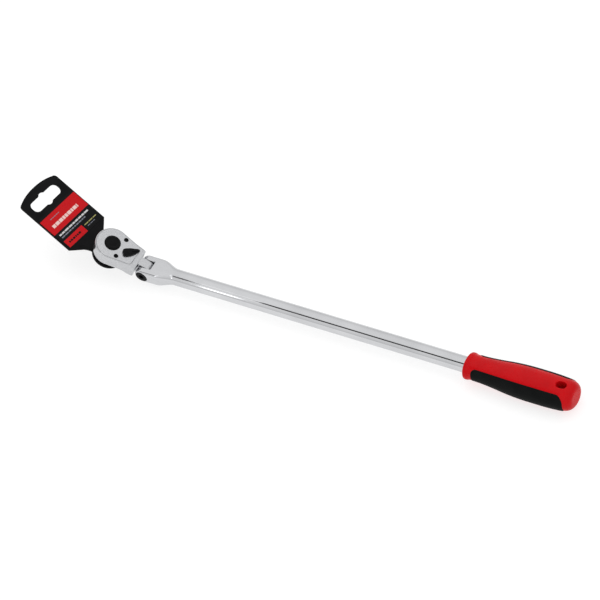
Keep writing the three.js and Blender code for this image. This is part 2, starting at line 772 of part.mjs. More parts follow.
function tagOutline() {
  const { halfWidth, cornersAt, crownAt, chamferAt, neckAt, neckHalf, ringRadius } = TAG;
  const meet = Math.asin(0.65);
  const [meetX, meetY] = [ringRadius * Math.cos(meet), ringRadius * Math.sin(meet)];
  const shape = new THREE.Shape();
  shape.moveTo(-chamferAt, halfWidth);
  shape.lineTo(-cornersAt + 3, halfWidth);
  shape.quadraticCurveTo(-cornersAt - 0.4, halfWidth, -cornersAt - 1, halfWidth - 3);
  shape.quadraticCurveTo(-crownAt, halfWidth * 0.5, -crownAt, 0);
  shape.quadraticCurveTo(-crownAt, -halfWidth * 0.5, -cornersAt - 1, -halfWidth + 3);
  shape.quadraticCurveTo(-cornersAt - 0.4, -halfWidth, -cornersAt + 3, -halfWidth);
  shape.lineTo(-chamferAt, -halfWidth);
  shape.lineTo(-neckAt, -neckHalf);
  shape.quadraticCurveTo(-neckAt + 3.4, -neckHalf + 2.8, -meetX, -meetY);
  shape.absarc(0, 0, ringRadius, Math.PI + meet, Math.PI - meet, false);
  shape.quadraticCurveTo(-neckAt + 3.4, neckHalf - 2.8, -neckAt, neckHalf);
  shape.closePath();
  return shape;
}

function euroSlotCutter() {
  const { at, halfLength, halfHeight, bumpHalf, bumpRadius } = EURO_SLOT;
  const outline = roundedRectangle(-at - halfHeight, -at + halfHeight, -halfLength, halfLength, 4.4);
  const bar = plate(outline, -20, 0, 0, 6);
  const offset = bumpHalf - bumpRadius;
  return join(
    bar,
    rod(bumpRadius, -20, 0, -at - offset, 0, 20),
    rod(bumpRadius, -20, 0, -at + offset, 0, 20),
  );
}

function hangTag() {
  return cut(
    plate(tagOutline(), TAG.low, TAG.top, 0, 12),
    rod(TAG.holeRadius, -20, 0, 0, 0, 32),
    euroSlotCutter(),
  );
}

function tagLabel() {
  const low = TAG.top + 0.05;
  return plate(
    roundedRectangle(-LABEL.to, -LABEL.from, -LABEL.halfWidth, LABEL.halfWidth, 0.8),
    low,
    low + LABEL.thickness,
    0,
    3,
  );
}

// ---------------------------------------------------------------- assembly
const degrees = THREE.MathUtils.degToRad;
const flex = degrees(FLEX_ANGLE);
const ratchet = new THREE.Group();
const pivotPlace = new THREE.Vector3(
  PIVOT_DISTANCE * Math.cos(flex) - DRIVE_END_Z * Math.sin(flex),
  0,
  -PIVOT_DISTANCE * Math.sin(flex) - DRIVE_END_Z * Math.cos(flex),
);

const handle = new THREE.Group();
handle.position.copy(pivotPlace);
handle.add(
  node("handle_shaft", handleShaft(), chrome),
  node("grip_core", gripCore(), redPlastic),
  node("grip_panel_left", gripPanel(1), blackRubber),
  node("grip_panel_right", gripPanel(-1), blackRubber),
  node("flex_pivot_screw", pivotScrew(), blackOxide),
  node("flex_detent_ball", flexDetentBall(), steel),
  node("flex_detent_spring", flexDetentSpring(), steel),
);

const headTurn = new THREE.Group();
headTurn.position.copy(pivotPlace);
headTurn.rotation.y = flex;
const head = new THREE.Group();
head.position.x = -PIVOT_DISTANCE;
headTurn.add(head);
head.add(
  node("head_body", headBody(), satinChrome),
  node("cover_plate", coverPlate(), satinChrome),
  node("cover_screw_left", coverScrew(1), blackOxide),
  node("cover_screw_right", coverScrew(-1), blackOxide),
  node("pawl_pin", rod(PAWL.pinRadius, BLIND_HOLE_Z + 0.2, ANVIL.top, PAWL.pinX, 0, 12), steel),
  node("gear_washer", washer(8.4, 9.3, GEAR.high + 0.2, GEAR.high + 0.7), steel),
  node("lever_seal", leverSeal(), rubberSeal),
  node("drive_anvil", driveAnvil(), satinChrome),
  node("release_spring", coilSpring(3.6, 0.4, ANVIL.springWellFloor + 0.1, BUTTON.low - 0.1, 4), steel),
  node("release_button", releaseButton(), blackPlastic),
  node("release_rod", releaseRod(), steel),
  node("socket_detent_ball", ball(RELEASE.ballRadius, RELEASE.ballX, RELEASE.ballZ), steel),
);

const leverTurn = new THREE.Group();
leverTurn.position.x = LEVER.x;
leverTurn.rotation.z = degrees(LEVER_THROW);
leverTurn.add(
  node("direction_lever", directionLever(), blackPlastic),
  node("lever_ball", ball(0.85, -2.2, 0), steel),
  node("lever_spring", leverSpring(), steel),
);
head.add(leverTurn);

const pawlTurn = new THREE.Group();
pawlTurn.position.x = PAWL.pinX;
pawlTurn.rotation.z = degrees(-PAWL_ROCK);
const pawlMesh = node("pawl", pawl(), steel);
pawlMesh.position.x = -PAWL.pinX;
pawlTurn.add(pawlMesh);
head.add(pawlTurn);

const tagTurn = new THREE.Group();
tagTurn.rotation.z = degrees(-TAG_SWING);
tagTurn.add(node("hang_tag", hangTag(), tagPlastic), node("tag_label", tagLabel(), tagPrint));
head.add(tagTurn);

ratchet.add(handle, headTurn);
export default ratchet;
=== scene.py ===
import json
from math import acos, asin, atan, cos, degrees, hypot, pi, radians, sin, sqrt

import bmesh
import bpy
import numpy as np
from mathutils import Matrix, Vector


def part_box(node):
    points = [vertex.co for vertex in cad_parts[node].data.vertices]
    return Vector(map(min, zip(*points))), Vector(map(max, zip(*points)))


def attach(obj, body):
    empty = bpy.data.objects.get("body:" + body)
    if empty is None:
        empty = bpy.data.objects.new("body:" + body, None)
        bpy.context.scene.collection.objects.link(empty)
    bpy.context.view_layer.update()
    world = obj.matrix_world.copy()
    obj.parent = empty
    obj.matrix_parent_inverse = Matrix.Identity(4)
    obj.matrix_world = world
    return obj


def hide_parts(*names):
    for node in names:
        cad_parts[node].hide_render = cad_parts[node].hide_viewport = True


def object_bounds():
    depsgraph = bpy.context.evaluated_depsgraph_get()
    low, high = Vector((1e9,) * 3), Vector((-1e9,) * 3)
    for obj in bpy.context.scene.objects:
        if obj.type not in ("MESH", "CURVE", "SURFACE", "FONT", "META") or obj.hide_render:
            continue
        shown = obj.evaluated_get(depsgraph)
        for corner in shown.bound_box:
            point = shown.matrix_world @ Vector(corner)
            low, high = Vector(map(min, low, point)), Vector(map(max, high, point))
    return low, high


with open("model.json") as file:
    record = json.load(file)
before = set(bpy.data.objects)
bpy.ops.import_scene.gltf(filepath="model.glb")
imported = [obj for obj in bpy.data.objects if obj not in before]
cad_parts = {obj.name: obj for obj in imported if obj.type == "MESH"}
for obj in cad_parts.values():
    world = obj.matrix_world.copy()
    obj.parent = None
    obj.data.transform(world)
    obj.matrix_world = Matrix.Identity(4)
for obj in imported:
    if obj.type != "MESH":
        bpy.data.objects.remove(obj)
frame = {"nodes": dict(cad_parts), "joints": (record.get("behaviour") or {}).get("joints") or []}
cad_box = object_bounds()

# Shapes are worked out in millimetres in the local frame of their body, then put in the shared
# frame, in metres.
MM = 0.001

# ---- places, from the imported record
JOINTS = {joint["name"]: joint for joint in frame["joints"]}
FLEX_PIVOT = Vector(JOINTS["head_flex"]["pos_m"])
HEAD_ORIGIN = Vector(JOINTS["drive_spin"]["pos_m"])
HEAD_UP = Vector(JOINTS["drive_spin"]["axis"]).normalized()
LEFT = Vector((0, 1, 0))
HEAD_BACK = LEFT.cross(HEAD_UP)  # from the drive's axis towards the handle

PIVOT_DISTANCE = (FLEX_PIVOT - HEAD_ORIGIN).length / MM
BUTTON_TRAVEL = JOINTS["release_press"]["range_m"][1] / MM
GRIP_START = (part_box("grip_core")[0].x - FLEX_PIVOT.x) / MM
GRIP_END = (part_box("grip_core")[1].x - FLEX_PIVOT.x) / MM
LEVER_THROW = -JOINTS["direction_flip"]["range_deg"][0] / 2
TAG_SWING = sum(JOINTS["tag_swivel"]["range_deg"]) / 2


def along_head(joint):
    """How far behind the drive's axis a joint of the head lies."""
    return (Vector(JOINTS[joint]["pos_m"]) - HEAD_ORIGIN).dot(HEAD_BACK) / MM


LEVER_X = along_head("direction_flip")
PAWL_PIN_X = along_head("pawl_rock")


def place(origin, up=Vector((0, 0, 1)), turn=0.0):
    """The matrix from a local frame in millimetres to the shared frame."""
    axes = Matrix((LEFT.cross(up), LEFT, up)).transposed().to_4x4()
    turned_axes = axes @ Matrix.Rotation(radians(turn), 4, "Z")
    return Matrix.Translation(origin) @ turned_axes @ Matrix.Scale(MM, 4)


PLACES = {
    "handle": place(FLEX_PIVOT),
    **dict.fromkeys(("head", "drive", "release", "socket_ball"), place(HEAD_ORIGIN, HEAD_UP)),
    "lever": place(HEAD_ORIGIN + HEAD_BACK * LEVER_X * MM, HEAD_UP, LEVER_THROW),
    "tag": place(HEAD_ORIGIN, HEAD_UP, -TAG_SWING),
}

# ---- camera
VIEW_AZIMUTH = radians(-48.95)
VIEW_ELEVATION = radians(48.93)
VIEW_ROLL = radians(-16.54)
VIEW_DISTANCE = 8.0
VIEW_WIDTH = 0.4976  # what the frame spans at the object
VIEW_RIGHT = 0.1271  # middle of the frame from the flex pivot
VIEW_UP = -0.0263
VIEW_CLIP = 50
TO_CAMERA = Vector((cos(VIEW_ELEVATION) * cos(VIEW_AZIMUTH),
                    cos(VIEW_ELEVATION) * sin(VIEW_AZIMUTH),
                    sin(VIEW_ELEVATION)))


def add_object(name, data):
    made = bpy.data.objects.new(name, data)
    bpy.context.scene.collection.objects.link(made)
    return made


def add_camera():
    turn = TO_CAMERA.to_track_quat("Z", "Y").to_matrix() @ Matrix.Rotation(VIEW_ROLL, 3, "Z")
    target = FLEX_PIVOT + turn @ Vector((VIEW_RIGHT, VIEW_UP, 0))
    data = bpy.data.cameras.new("camera")
    data.lens = data.sensor_width * VIEW_DISTANCE / VIEW_WIDTH
    data.clip_end = VIEW_CLIP
    camera = add_object("camera", data)
    camera.matrix_world = Matrix.Translation(target + TO_CAMERA * VIEW_DISTANCE) @ turn.to_4x4()
    bpy.context.scene.camera = camera


add_camera()

# ---- materials
INK = "ink"  # the label's colour attribute


class Nodes:
    """Builds the node tree of a material or a world."""

    def __init__(self, owner):
        owner.use_nodes = True
        self.owner = owner
        self.tree = owner.node_tree

    def feed(self, socket, value):
        """Gives a node's input its value, or links it to another node's output."""
        if isinstance(value, bpy.types.NodeSocket):
            self.tree.links.new(value, socket)
        else:
            socket.default_value = value

    def fill(self, node, **inputs):
        for key, value in inputs.items():
            self.feed(node.inputs[key.replace("_", " ")], value)

    def add(self, kind, **inputs):
        node = self.tree.nodes.new("ShaderNode" + kind)
        self.fill(node, **inputs)
        return node

    def set(self, **inputs):
        self.fill(self.tree.nodes["Principled BSDF"], **inputs)

    def place(self, stretch=(1, 1, 1)):
        """Object coordinates in metres, stretched."""
        coordinates = self.add("TexCoord").outputs["Object"]
        return self.add("Mapping", Vector=coordinates, Scale=stretch).outputs["Vector"]

    def noise(self, scale, detail, roughness=0.5, vector=None):
        node = self.add("TexNoise", Scale=scale, Detail=detail, Roughness=roughness,
                        Vector=vector or self.place())
        return node.outputs["Fac"]

    def spread(self, value, low=0.0, high=1.0, start=0.3, end=0.7):
        """value, mostly between start and end, spread from low to high."""
        node = self.add("MapRange", Value=value, From_Min=start, From_Max=end, To_Min=low, To_Max=high)
        return node.outputs["Result"]

    def step(self, value, start, end):
        """Rises smoothly from 0 to 1 as value goes from start to end."""
        node = self.add("MapRange", Value=value, From_Min=start, From_Max=end)
        node.interpolation_type = "SMOOTHSTEP"
        return node.outputs["Result"]

    def math(self, operation, first, second=0.0):
        node = self.add("Math")
        node.operation = operation
        for socket, value in zip(node.inputs, (first, second)):
            self.feed(socket, value)
        return node.outputs[0]

    def mix(self, factor, first, second):
        """Colour first where factor is 0, second where it is 1."""
        node = self.add("Mix")
        node.data_type = "RGBA"
        self.feed(node.inputs["Factor"], factor)
        for socket, color in zip(node.inputs[6:8], (first, second)):  # the node's two colours
            self.feed(socket, (*color, 1) if isinstance(color, tuple) else color)
        return node.outputs[2]

    def bump(self, height, millimetres, strength, normal=None):
        node = self.add("Bump", Height=height, Distance=millimetres * MM, Strength=strength)
        if normal is not None:
            self.feed(node.inputs["Normal"], normal)
        return node.outputs["Normal"]

    def tint(self, factor, first, second, **settings):
        """Two tones, and the settings that hold all over."""
        self.set(Base_Color=self.mix(factor, first, second), **settings)

    def texture(self, roughness, height, millimetres, strength, under=None):
        self.set(Roughness=roughness, Normal=self.bump(height, millimetres, strength, under))


def polished_chrome(n):
    """Bright plate with faint smudges and polishing lines along the bar."""
    smudges = n.noise(45, 4)
    lines = n.noise(900, 2, vector=n.place((0.02, 1, 1)))
    n.tint(n.spread(smudges), (0.62, 0.625, 0.64), (0.56, 0.565, 0.58), Metallic=1.0)
    n.texture(n.spread(smudges, 0.07, 0.14), lines, 0.01, 0.3)


def satin_chrome(n):
    """Plate over a fine tumbled grain."""
    grain = n.noise(1700, 4, 0.65)
    n.tint(n.spread(grain, 0, 1, 0.35, 0.65), (0.64, 0.645, 0.66), (0.43, 0.435, 0.45), Metallic=1.0)
    n.texture(n.spread(n.noise(60, 3), 0.24, 0.33), grain, 0.05, 0.5)


def machined_steel(n):
    """Bare steel with turning marks and slight clouds."""
    turning = n.noise(1800, 2, vector=n.place((1, 1, 0.08)))
    n.tint(n.spread(n.noise(150, 3)), (0.56, 0.56, 0.57), (0.44, 0.45, 0.47), Metallic=1.0)
    n.texture(n.spread(turning, 0.22, 0.4), turning, 0.03, 0.4)


def black_oxide(n):
    """Blackened screws, with a fine dull grain."""
    grain = n.noise(1900, 3, 0.6)
    n.tint(n.spread(grain), (0.004, 0.004, 0.0045), (0.009, 0.009, 0.01), Specular_IOR_Level=0.05,
           Metallic=0.1)
    n.texture(n.spread(grain, 0.32, 0.5), grain, 0.03, 0.5)


def black_moulding(n):
    """Semi-gloss nylon with a fine spark-eroded grain."""
    clouds = n.noise(120, 2)
    n.tint(n.spread(clouds), (0.003, 0.003, 0.0035), (0.006, 0.006, 0.0065), Specular_IOR_Level=0.07)
    n.texture(n.spread(clouds, 0.3, 0.42), n.noise(2200, 3, 0.6), 0.05, 0.5)


def tag_moulding(n):
    """Black polypropylene card with a leathery injection grain."""
    grain = n.noise(1400, 4, 0.6)
    n.tint(n.spread(n.noise(80, 2)), (0.003, 0.003, 0.0035), (0.006, 0.006, 0.0065), Specular_IOR_Level=0.07)
    n.texture(n.spread(grain, 0.34, 0.5), grain, 0.06, 0.5)


def red_moulding(n):
    """Glossy hard plastic with orange peel and slight waves."""
    waves = n.noise(70, 2)
    n.tint(n.spread(waves), (0.56, 0.003, 0.006), (0.49, 0.002, 0.005), Specular_IOR_Level=0.1)
    n.texture(n.spread(waves, 0.24, 0.32), n.noise(900, 2), 0.03, 0.3, n.bump(waves, 0.2, 0.3))


def soft_rubber(n):
    """Matt overmoulded rubber, dusty, with a pebbled grain."""
    dust = n.noise(90, 5)
    pebbles = n.add("TexVoronoi", Scale=1500.0, Vector=n.place()).outputs["Distance"]
    n.tint(n.spread(dust), (0.003, 0.0036, 0.0036), (0.007, 0.0078, 0.0078), Specular_IOR_Level=0.05)
    n.texture(n.spread(dust, 0.5, 0.66), pebbles, 0.06, 0.6)


def seal_rubber(n):
    """Plain dark nitrile."""
    grain = n.noise(1500, 2)
    n.tint(grain, (0.01, 0.01, 0.01), (0.02, 0.02, 0.02))
    n.texture(n.spread(grain, 0.5, 0.7), grain, 0.04, 0.4)


def printed_film(n):
    """Inks from the mesh's colour attribute, under a gloss film."""
    attribute = n.add("Attribute")
    attribute.attribute_name = INK
    ink = attribute.outputs["Color"]
    darker = n.add("HueSaturation", Value=0.8, Color=ink).outputs["Color"]
    n.tint(n.spread(n.noise(3200, 1)), ink, darker, Specular_IOR_Level=0.1)
    n.texture(n.spread(n.noise(120, 3), 0.22, 0.34), n.noise(260, 2), 0.03, 0.4)


def material(paint):
    """A material, named after the function that lays out its nodes."""
    n = Nodes(bpy.data.materials.new(paint.__name__))
    paint(n)
    return n.owner


# The finish of each of the record's material slots.
FINISHES = {
    "chrome": material(polished_chrome),
    "satin_chrome": material(satin_chrome),
    "steel": material(machined_steel),
    "black_oxide": material(black_oxide),
    "black_plastic": material(black_moulding),
    "red_plastic": material(red_moulding),
    "black_rubber": material(soft_rubber),
    "seal_rubber": material(seal_rubber),
    "tag_plastic": material(tag_moulding),
    "tag_print": material(printed_film),
}

# ---- mesh tools
SMOOTH_BELOW = radians(32)  # between faces that shade as one surface
MERGE_BELOW = 1e-4
SLIVER_BELOW = 1e-5
AXIS = 1e-3  # radius of a point on a turned piece's axis


def tidy_mesh(mesh):
    """Merges doubled points, drops slivers and turns the faces outwards."""
    work = bmesh.new()
    work.from_mesh(mesh)
    bmesh.ops.remove_doubles(work, verts=work.verts, dist=MERGE_BELOW)
    bmesh.ops.dissolve_degenerate(work, edges=work.edges, dist=SLIVER_BELOW)
    bmesh.ops.recalc_face_normals(work, faces=work.faces)
    work.to_mesh(mesh)
    work.free()


def mesh_object(points, faces, name="piece"):
    mesh = bpy.data.meshes.new(name)
    mesh.from_pydata([tuple(map(float, point)) for point in points], [], faces)
    tidy_mesh(mesh)
    return add_object(name, mesh)


def loft(rings, capped=True, joined=False):
    """A solid through rings of equally many points, with flat ends or joined into a closed ring."""
    count = len(rings[0])
    faces = []
    for r in range(len(rings) if joined else len(rings) - 1):
        low, high = r * count, (r + 1) % len(rings) * count
        for i in range(count):
            j = (i + 1) % count
            faces.append((low + i, low + j, high + j, high + i))
    if capped and not joined:
        last = (len(rings) - 1) * count
        faces.append(tuple(range(count)))
        faces.append(tuple(range(last, last + count)))
    return mesh_object(np.concatenate([np.asarray(ring, float) for ring in rings]), faces)


def turn_steps(count):
    return np.arange(count) * 2 * pi / count


def circle(radius, count=96):
    angles = turn_steps(count)
    return np.column_stack([radius * np.cos(angles), radius * np.sin(angles)])


def hexagon(across_flats):
    return circle(across_flats / sqrt(3), 6)


def arc(x, y, radius, start, end, steps=8):
    """A stretch of a circle between two angles in degrees."""
    angles = np.radians(np.linspace(start, end, steps + 1))
    return np.column_stack([x + radius * np.cos(angles), y + radius * np.sin(angles)])


def bend(start, control, end, steps):
    """A curve that leaves start towards control and arrives at end from it."""
    t = np.linspace(0, 1, steps + 1)[:, None]
    start, control, end = (np.array(point, float) for point in (start, control, end))
    return (1 - t) ** 2 * start + 2 * t * (1 - t) * control + t ** 2 * end


def path(*parts, gap=1e-3):
    """One closed outline from points and stretches of points, without repeats."""
    points = np.concatenate([np.atleast_2d(np.asarray(part, float)) for part in parts])
    keep = np.linalg.norm(points - np.roll(points, 1, 0), axis=1) > gap
    return points[keep]


def mirrored(*parts):
    """The outline made by a half and its mirror image across the X axis."""
    half = path(*parts)
    return path(half, (half * (1, -1))[::-1])


def rounded_box(x0, x1, y0, y1, radius, steps=8):
    left, right, low, high = x0 + radius, x1 - radius, y0 + radius, y1 - radius
    corners = ((right, low, -90), (right, high, 0), (left, high, 90), (left, low, 180))
    return path(*(arc(x, y, radius, start, start + 90, steps) for x, y, start in corners))


def rounded_bar(half_length, half_width, radius, steps=8):
    return rounded_box(-half_length, half_length, -half_width, half_width, radius, steps)


def dense(outline, spacing, length=np.linalg.norm):
    """The outline with points added along its straight stretches."""
    out = []
    for here, there in zip(outline, np.roll(outline, -1, 0)):
        steps = max(1, int(round(length(there - here) / spacing)))
        out.extend(here + (there - here) * i / steps for i in range(steps))
    return np.array(out)


def offset_ring(points, distance):
    """A closed outline in XY, counted anticlockwise, moved inwards by distance."""
    points = np.asarray(points, float)
    edges = np.roll(points, -1, 0) - points
    edges /= np.linalg.norm(edges, axis=1, keepdims=True) + 1e-12
    inward = np.stack([-edges[:, 1], edges[:, 0]], 1)
    both = inward + np.roll(inward, 1, 0)
    both /= np.linalg.norm(both, axis=1, keepdims=True) + 1e-12
    cosine = np.clip((both * inward).sum(1), 0.5, 1)
    return points + both * (distance / cosine)[:, None]


def flat_ring(outline, z):
    """An outline at height z, which may be a function of X."""
    heights = z(outline[:, 0]) if callable(z) else np.full(len(outline), z)
    return np.column_stack([outline, heights])


def rounded_profile(profile, radius, steps=4):
    """A profile of (radius, z) points with its inner corners rounded."""
    points = [np.array(point, float) for point in profile]
    out = [points[0]]
    for before, corner, after in zip(points, points[1:], points[2:]):
        one, two = before - corner, after - corner
        one_length, two_length = np.linalg.norm(one), np.linalg.norm(two)
        reach = min(radius, one_length * 0.45, two_length * 0.45)
        start = corner + one / max(one_length, 1e-9) * reach
        end = corner + two / max(two_length, 1e-9) * reach
        out.extend(bend(start, corner, end, steps))
    out.append(points[-1])
    return out


def turned(profile, count=96, corner=0.25):
    """A solid turned about Z from (radius, z) points between its two flat ends."""
    profile = rounded_profile(profile, corner) if corner else profile
    return loft([flat_ring(circle(max(radius, AXIS), count), z) for radius, z in profile])


def rod(radius, low, high, count=64):
    return turned([(radius, low), (radius, high)], count, corner=0)


def revolved(profile, count):
    """A ring: a closed (radius, z) profile carried once round Z."""
    rings = [[(radius * cos(angle), radius * sin(angle), z) for radius, z in profile]
             for angle in turn_steps(count)]
    return loft(rings, joined=True)


def coil(radius, wire, low, high, turns, per_turn=40, around=14):
    """A wire spring along Z, its ends cut square."""
    rings = []
    rise = (high - low - 2 * wire) / (turns * 2 * pi)
    for angle in np.linspace(0, turns * 2 * pi, int(turns * per_turn) + 1):
        out = np.array([cos(angle), sin(angle), 0])
        forward = np.array([-radius * sin(angle), radius * cos(angle), rise])
        across = np.cross(forward / np.linalg.norm(forward), out)
        middle = out * radius + (0, 0, low + wire + rise * angle)
        rings.append(middle + circle(wire, around) @ np.array([out, across]))
    return loft(rings)


def ball(radius, steps=24):
    angles = np.linspace(-pi / 2, pi / 2, 2 * steps + 1)
    return loft([flat_ring(circle(max(radius * cos(a), 0.01), 2 * steps), radius * sin(a))
                 for a in angles])


def slab(outline, low, high, edge_low=0.0, edge_high=0.0, steps=5):
    """A solid between two heights, with rounded edges; both may be functions of X."""
    rings = []
    for edge, height, side in ((edge_low, low, 1), (edge_high, high, -1)):
        part = []
        edge = edge(outline[:, 0]) if callable(edge) else np.full(len(outline), float(edge))
        rounded = edge.max() > 0
        for i in range(steps + 1 if rounded else 1):
            angle = pi / 2 * i / steps if rounded else pi / 2
            inset, drop = edge * (1 - sin(angle)), edge * (1 - cos(angle))
            ring = flat_ring(offset_ring(outline, inset), height)
            ring[:, 2] += side * drop
            part.append(ring)
        rings.extend(part if side > 0 else part[::-1])
    return loft(rings)


def flared(outline, low, high, flare):
    """A cutter that leaves a chamfered mouth at high."""
    return loft([flat_ring(outline, low), flat_ring(outline, high - flare),
                 flat_ring(offset_ring(outline, -2 * flare), high + flare)])


def through(outline, low, high, out=0.4, past=0.2, inside=0.2):
    """A cutter that goes right through and leaves both mouths chamfered."""
    wide = offset_ring(outline, -out)
    return loft([flat_ring(wide, low - past), flat_ring(outline, low + inside),
                 flat_ring(outline, high - inside), flat_ring(wide, high + past)])


def moved(made, matrix):
    made.data.transform(matrix)
    return made


def at(made, x=0.0, y=0.0, z=0.0):
    return moved(made, Matrix.Translation((x, y, z)))


def along_y(made):
    """Laid along Y: what faced up faces right."""
    return moved(made, Matrix.Rotation(radians(90), 4, "X"))


def along_x(made):
    """Laid along X: what faced up faces the grip."""
    return moved(made, Matrix.Rotation(radians(90), 4, "Y"))


def combine(operation, target, *others):
    """A boolean of target with the others, which are used up."""
    for other in others:
        modifier = target.modifiers.new("boolean", "BOOLEAN")
        modifier.operation = operation
        modifier.solver = "EXACT"
        modifier.object = other
    bpy.context.view_layer.update()
    evaluated = target.evaluated_get(bpy.context.evaluated_depsgraph_get())
    mesh = bpy.data.meshes.new_from_object(evaluated)
    target.modifiers.clear()
    target.data = mesh
    for other in others:
        bpy.data.objects.remove(other)
    return target


def cut(target, *cutters):
    return combine("DIFFERENCE", target, *cutters)


def join(target, *others):
    return combine("UNION", target, *others)


def finish_piece(made, name, node, body, slot):
    """Puts a piece in its body's place, and says what it is."""
    made.name = name
    made.data.name = name
    tidy_mesh(made.data)
    made.data.transform(PLACES[body])
    made.data.materials.clear()
    made.data.materials.append(FINISHES[slot])
    made.data.shade_smooth()
    made.data.set_sharp_from_angle(angle=SMOOTH_BELOW)
    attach(made, body)
    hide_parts(node)


def smoothstep(t):
    t = np.clip(t, 0, 1)
    return t * t * (3 - 2 * t)


def ramp(x, start, end, low, high):
    """Goes smoothly from low at start to high at end."""
    return low + (high - low) * smoothstep((x - start) / (end - start))


# ---- handle: fork and bar
FORK_HALF_WIDTH = 10.0
FORK_HALF_HEIGHT = 6.5
FORK_CORNER = 2.5
FORK_END = 13.0
BAR_START = 29.0
BAR_RADIUS = 7.0
BAR_RINGS = (34, 60, 100, 150, 200, 250)  # sections along the straight bar
BAR_END_CHAMFER = 0.8
BAR_END_SCALE = 0.9
SLOT_HALF = 4.3
SLOT_DEPTH = 7.2
FORK_RINGS = (3.5, SLOT_DEPTH, 10)  # sections between the pivot and the taper
SLOT_CORNER = 0.8
SLOT_OPEN_END = -20
TAIL_START = 311.0
TAIL_END = 382.0
TAIL_RADIUS = 5.6
TAIL_HALF_FLAT = 4.8
TAIL_CHAMFER = 1.0
TAIL_OVERLAP = 2.0  # how far the tail reaches into the bar
RUNNING_GAP = 0.2

SCREW_HEAD_RADIUS = 5.1
SCREW_HEAD_DEPTH = 3.0
SCREW_HEAD_SINK = 0.15
SCREW_SHANK_RADIUS = 3.0
SCREW_TIP_SINK = 0.4
SCREW_SOCKET = 4.0
SCREW_SOCKET_DEPTH = 2.2
TIP_SLOT_HALF_LENGTH = 2.2
TIP_SLOT_HALF_WIDTH = 0.4
TIP_SLOT_DEPTH = 0.9
DETENT_BORE_RADIUS = 2.1
DETENT_BORE_END = 20.0


def fork_quarter(x, side_steps=6, corner_steps=12, top_steps=8):
    """Quarter of the forging's section at x, from its left side to its top."""
    half_width = float(ramp(x, FORK_END, BAR_START, FORK_HALF_WIDTH, BAR_RADIUS))
    half_height = float(ramp(x, FORK_END, BAR_START, FORK_HALF_HEIGHT, BAR_RADIUS))
    corner = float(ramp(x, FORK_END, BAR_START, FORK_CORNER, BAR_RADIUS))
    core = half_height - corner
    back = max(-x, 0.0)

    def rise(radius):
        """Height at x of the fork's tip, which is round about the pivot."""
        return sqrt(max(radius * radius - back * back, 0.0))

    first = asin(min((back - core) / corner, 1.0)) if back > core else 0.0
    side = half_width - corner + corner * cos(first)
    points = [(side, rise(max(core, back)) * i / side_steps) for i in range(side_steps)]
    for i in range(corner_steps + 1):
        angle = first + (pi / 2 - first) * i / corner_steps
        across = half_width - corner + corner * cos(angle)
        points.append((across, rise(core + corner * sin(angle))))
    for i in range(1, top_steps + 1):
        points.append(((half_width - corner) * (1 - i / top_steps), rise(half_height)))
    return points


def fork_ring(x):
    quarter = fork_quarter(x)
    half = quarter + [(-y, z) for y, z in quarter[-2::-1]]
    whole = half + [(y, -z) for y, z in half[-2:0:-1]]
    return np.array([(x, y, z) for y, z in whole])


def tail_ring(x, inset):
    """Section of the tail, or of its bore where inset is below 0."""
    ring = circle(TAIL_RADIUS - inset, 64)
    half_flat = TAIL_HALF_FLAT - inset
    ring[:, 1] = np.clip(ring[:, 1], -half_flat, half_flat)
    return np.column_stack([np.full(len(ring), x), ring])


def make_shaft(tip_steps=24, taper_steps=40):
    tip = -FORK_HALF_HEIGHT * np.cos(np.linspace(0, pi / 2, tip_steps + 1))
    taper = np.linspace(FORK_END, BAR_START, taper_steps + 1)
    rings = [fork_ring(x) for x in (*tip, *FORK_RINGS, *taper, *BAR_RINGS, TAIL_START - BAR_END_CHAMFER)]
    rings.append(fork_ring(TAIL_START) * (1, BAR_END_SCALE, BAR_END_SCALE))
    tail = loft([tail_ring(TAIL_START - TAIL_OVERLAP, 0), tail_ring(TAIL_END - TAIL_CHAMFER, 0),
                 tail_ring(TAIL_END, TAIL_CHAMFER)])
    slot = rounded_box(SLOT_OPEN_END, SLOT_DEPTH, -SLOT_HALF, SLOT_HALF, SLOT_CORNER, 4)
    slot_cutter = through(slot, -FORK_HALF_HEIGHT, FORK_HALF_HEIGHT, out=0.9, past=0.4, inside=0.5)
    seat_floor = FORK_HALF_WIDTH - SCREW_HEAD_DEPTH - RUNNING_GAP
    head_seat = flared(circle(SCREW_HEAD_RADIUS + RUNNING_GAP), seat_floor, FORK_HALF_WIDTH, 0.25)
    screw_bore = rod(SCREW_SHANK_RADIUS + RUNNING_GAP, -FORK_HALF_WIDTH - 2, FORK_HALF_WIDTH + 2)
    detent_bore = rod(DETENT_BORE_RADIUS, SLOT_DEPTH - 1, DETENT_BORE_END, 48)
    made = cut(join(loft(rings), tail), slot_cutter, along_y(head_seat), along_y(screw_bore),
               along_x(detent_bore))
    finish_piece(made, "chrome_shaft", "handle_shaft", "handle", "chrome")


def make_pivot_screw():
    """Made upright, then laid through the fork with its head on the right."""
    tip = FORK_HALF_WIDTH - SCREW_TIP_SINK
    top = FORK_HALF_WIDTH - SCREW_HEAD_SINK
    under_head = top - SCREW_HEAD_DEPTH
    made = turned([(AXIS, -tip), (SCREW_SHANK_RADIUS, -tip), (SCREW_SHANK_RADIUS, under_head),
                   (SCREW_HEAD_RADIUS, under_head), (SCREW_HEAD_RADIUS, top), (AXIS, top)], 96, 0.45)
    socket = flared(hexagon(SCREW_SOCKET), top - SCREW_SOCKET_DEPTH, top, 0.2)
    slot = rounded_bar(TIP_SLOT_HALF_LENGTH, TIP_SLOT_HALF_WIDTH, 0.1, 2)
    tip_slot = moved(flared(slot, tip - TIP_SLOT_DEPTH, tip, 0.1), Matrix.Rotation(pi, 4, "X"))
    made = along_y(cut(made, socket, tip_slot))
    finish_piece(made, "pivot_screw", "flex_pivot_screw", "handle", "black_oxide")


make_shaft()
make_pivot_screw()

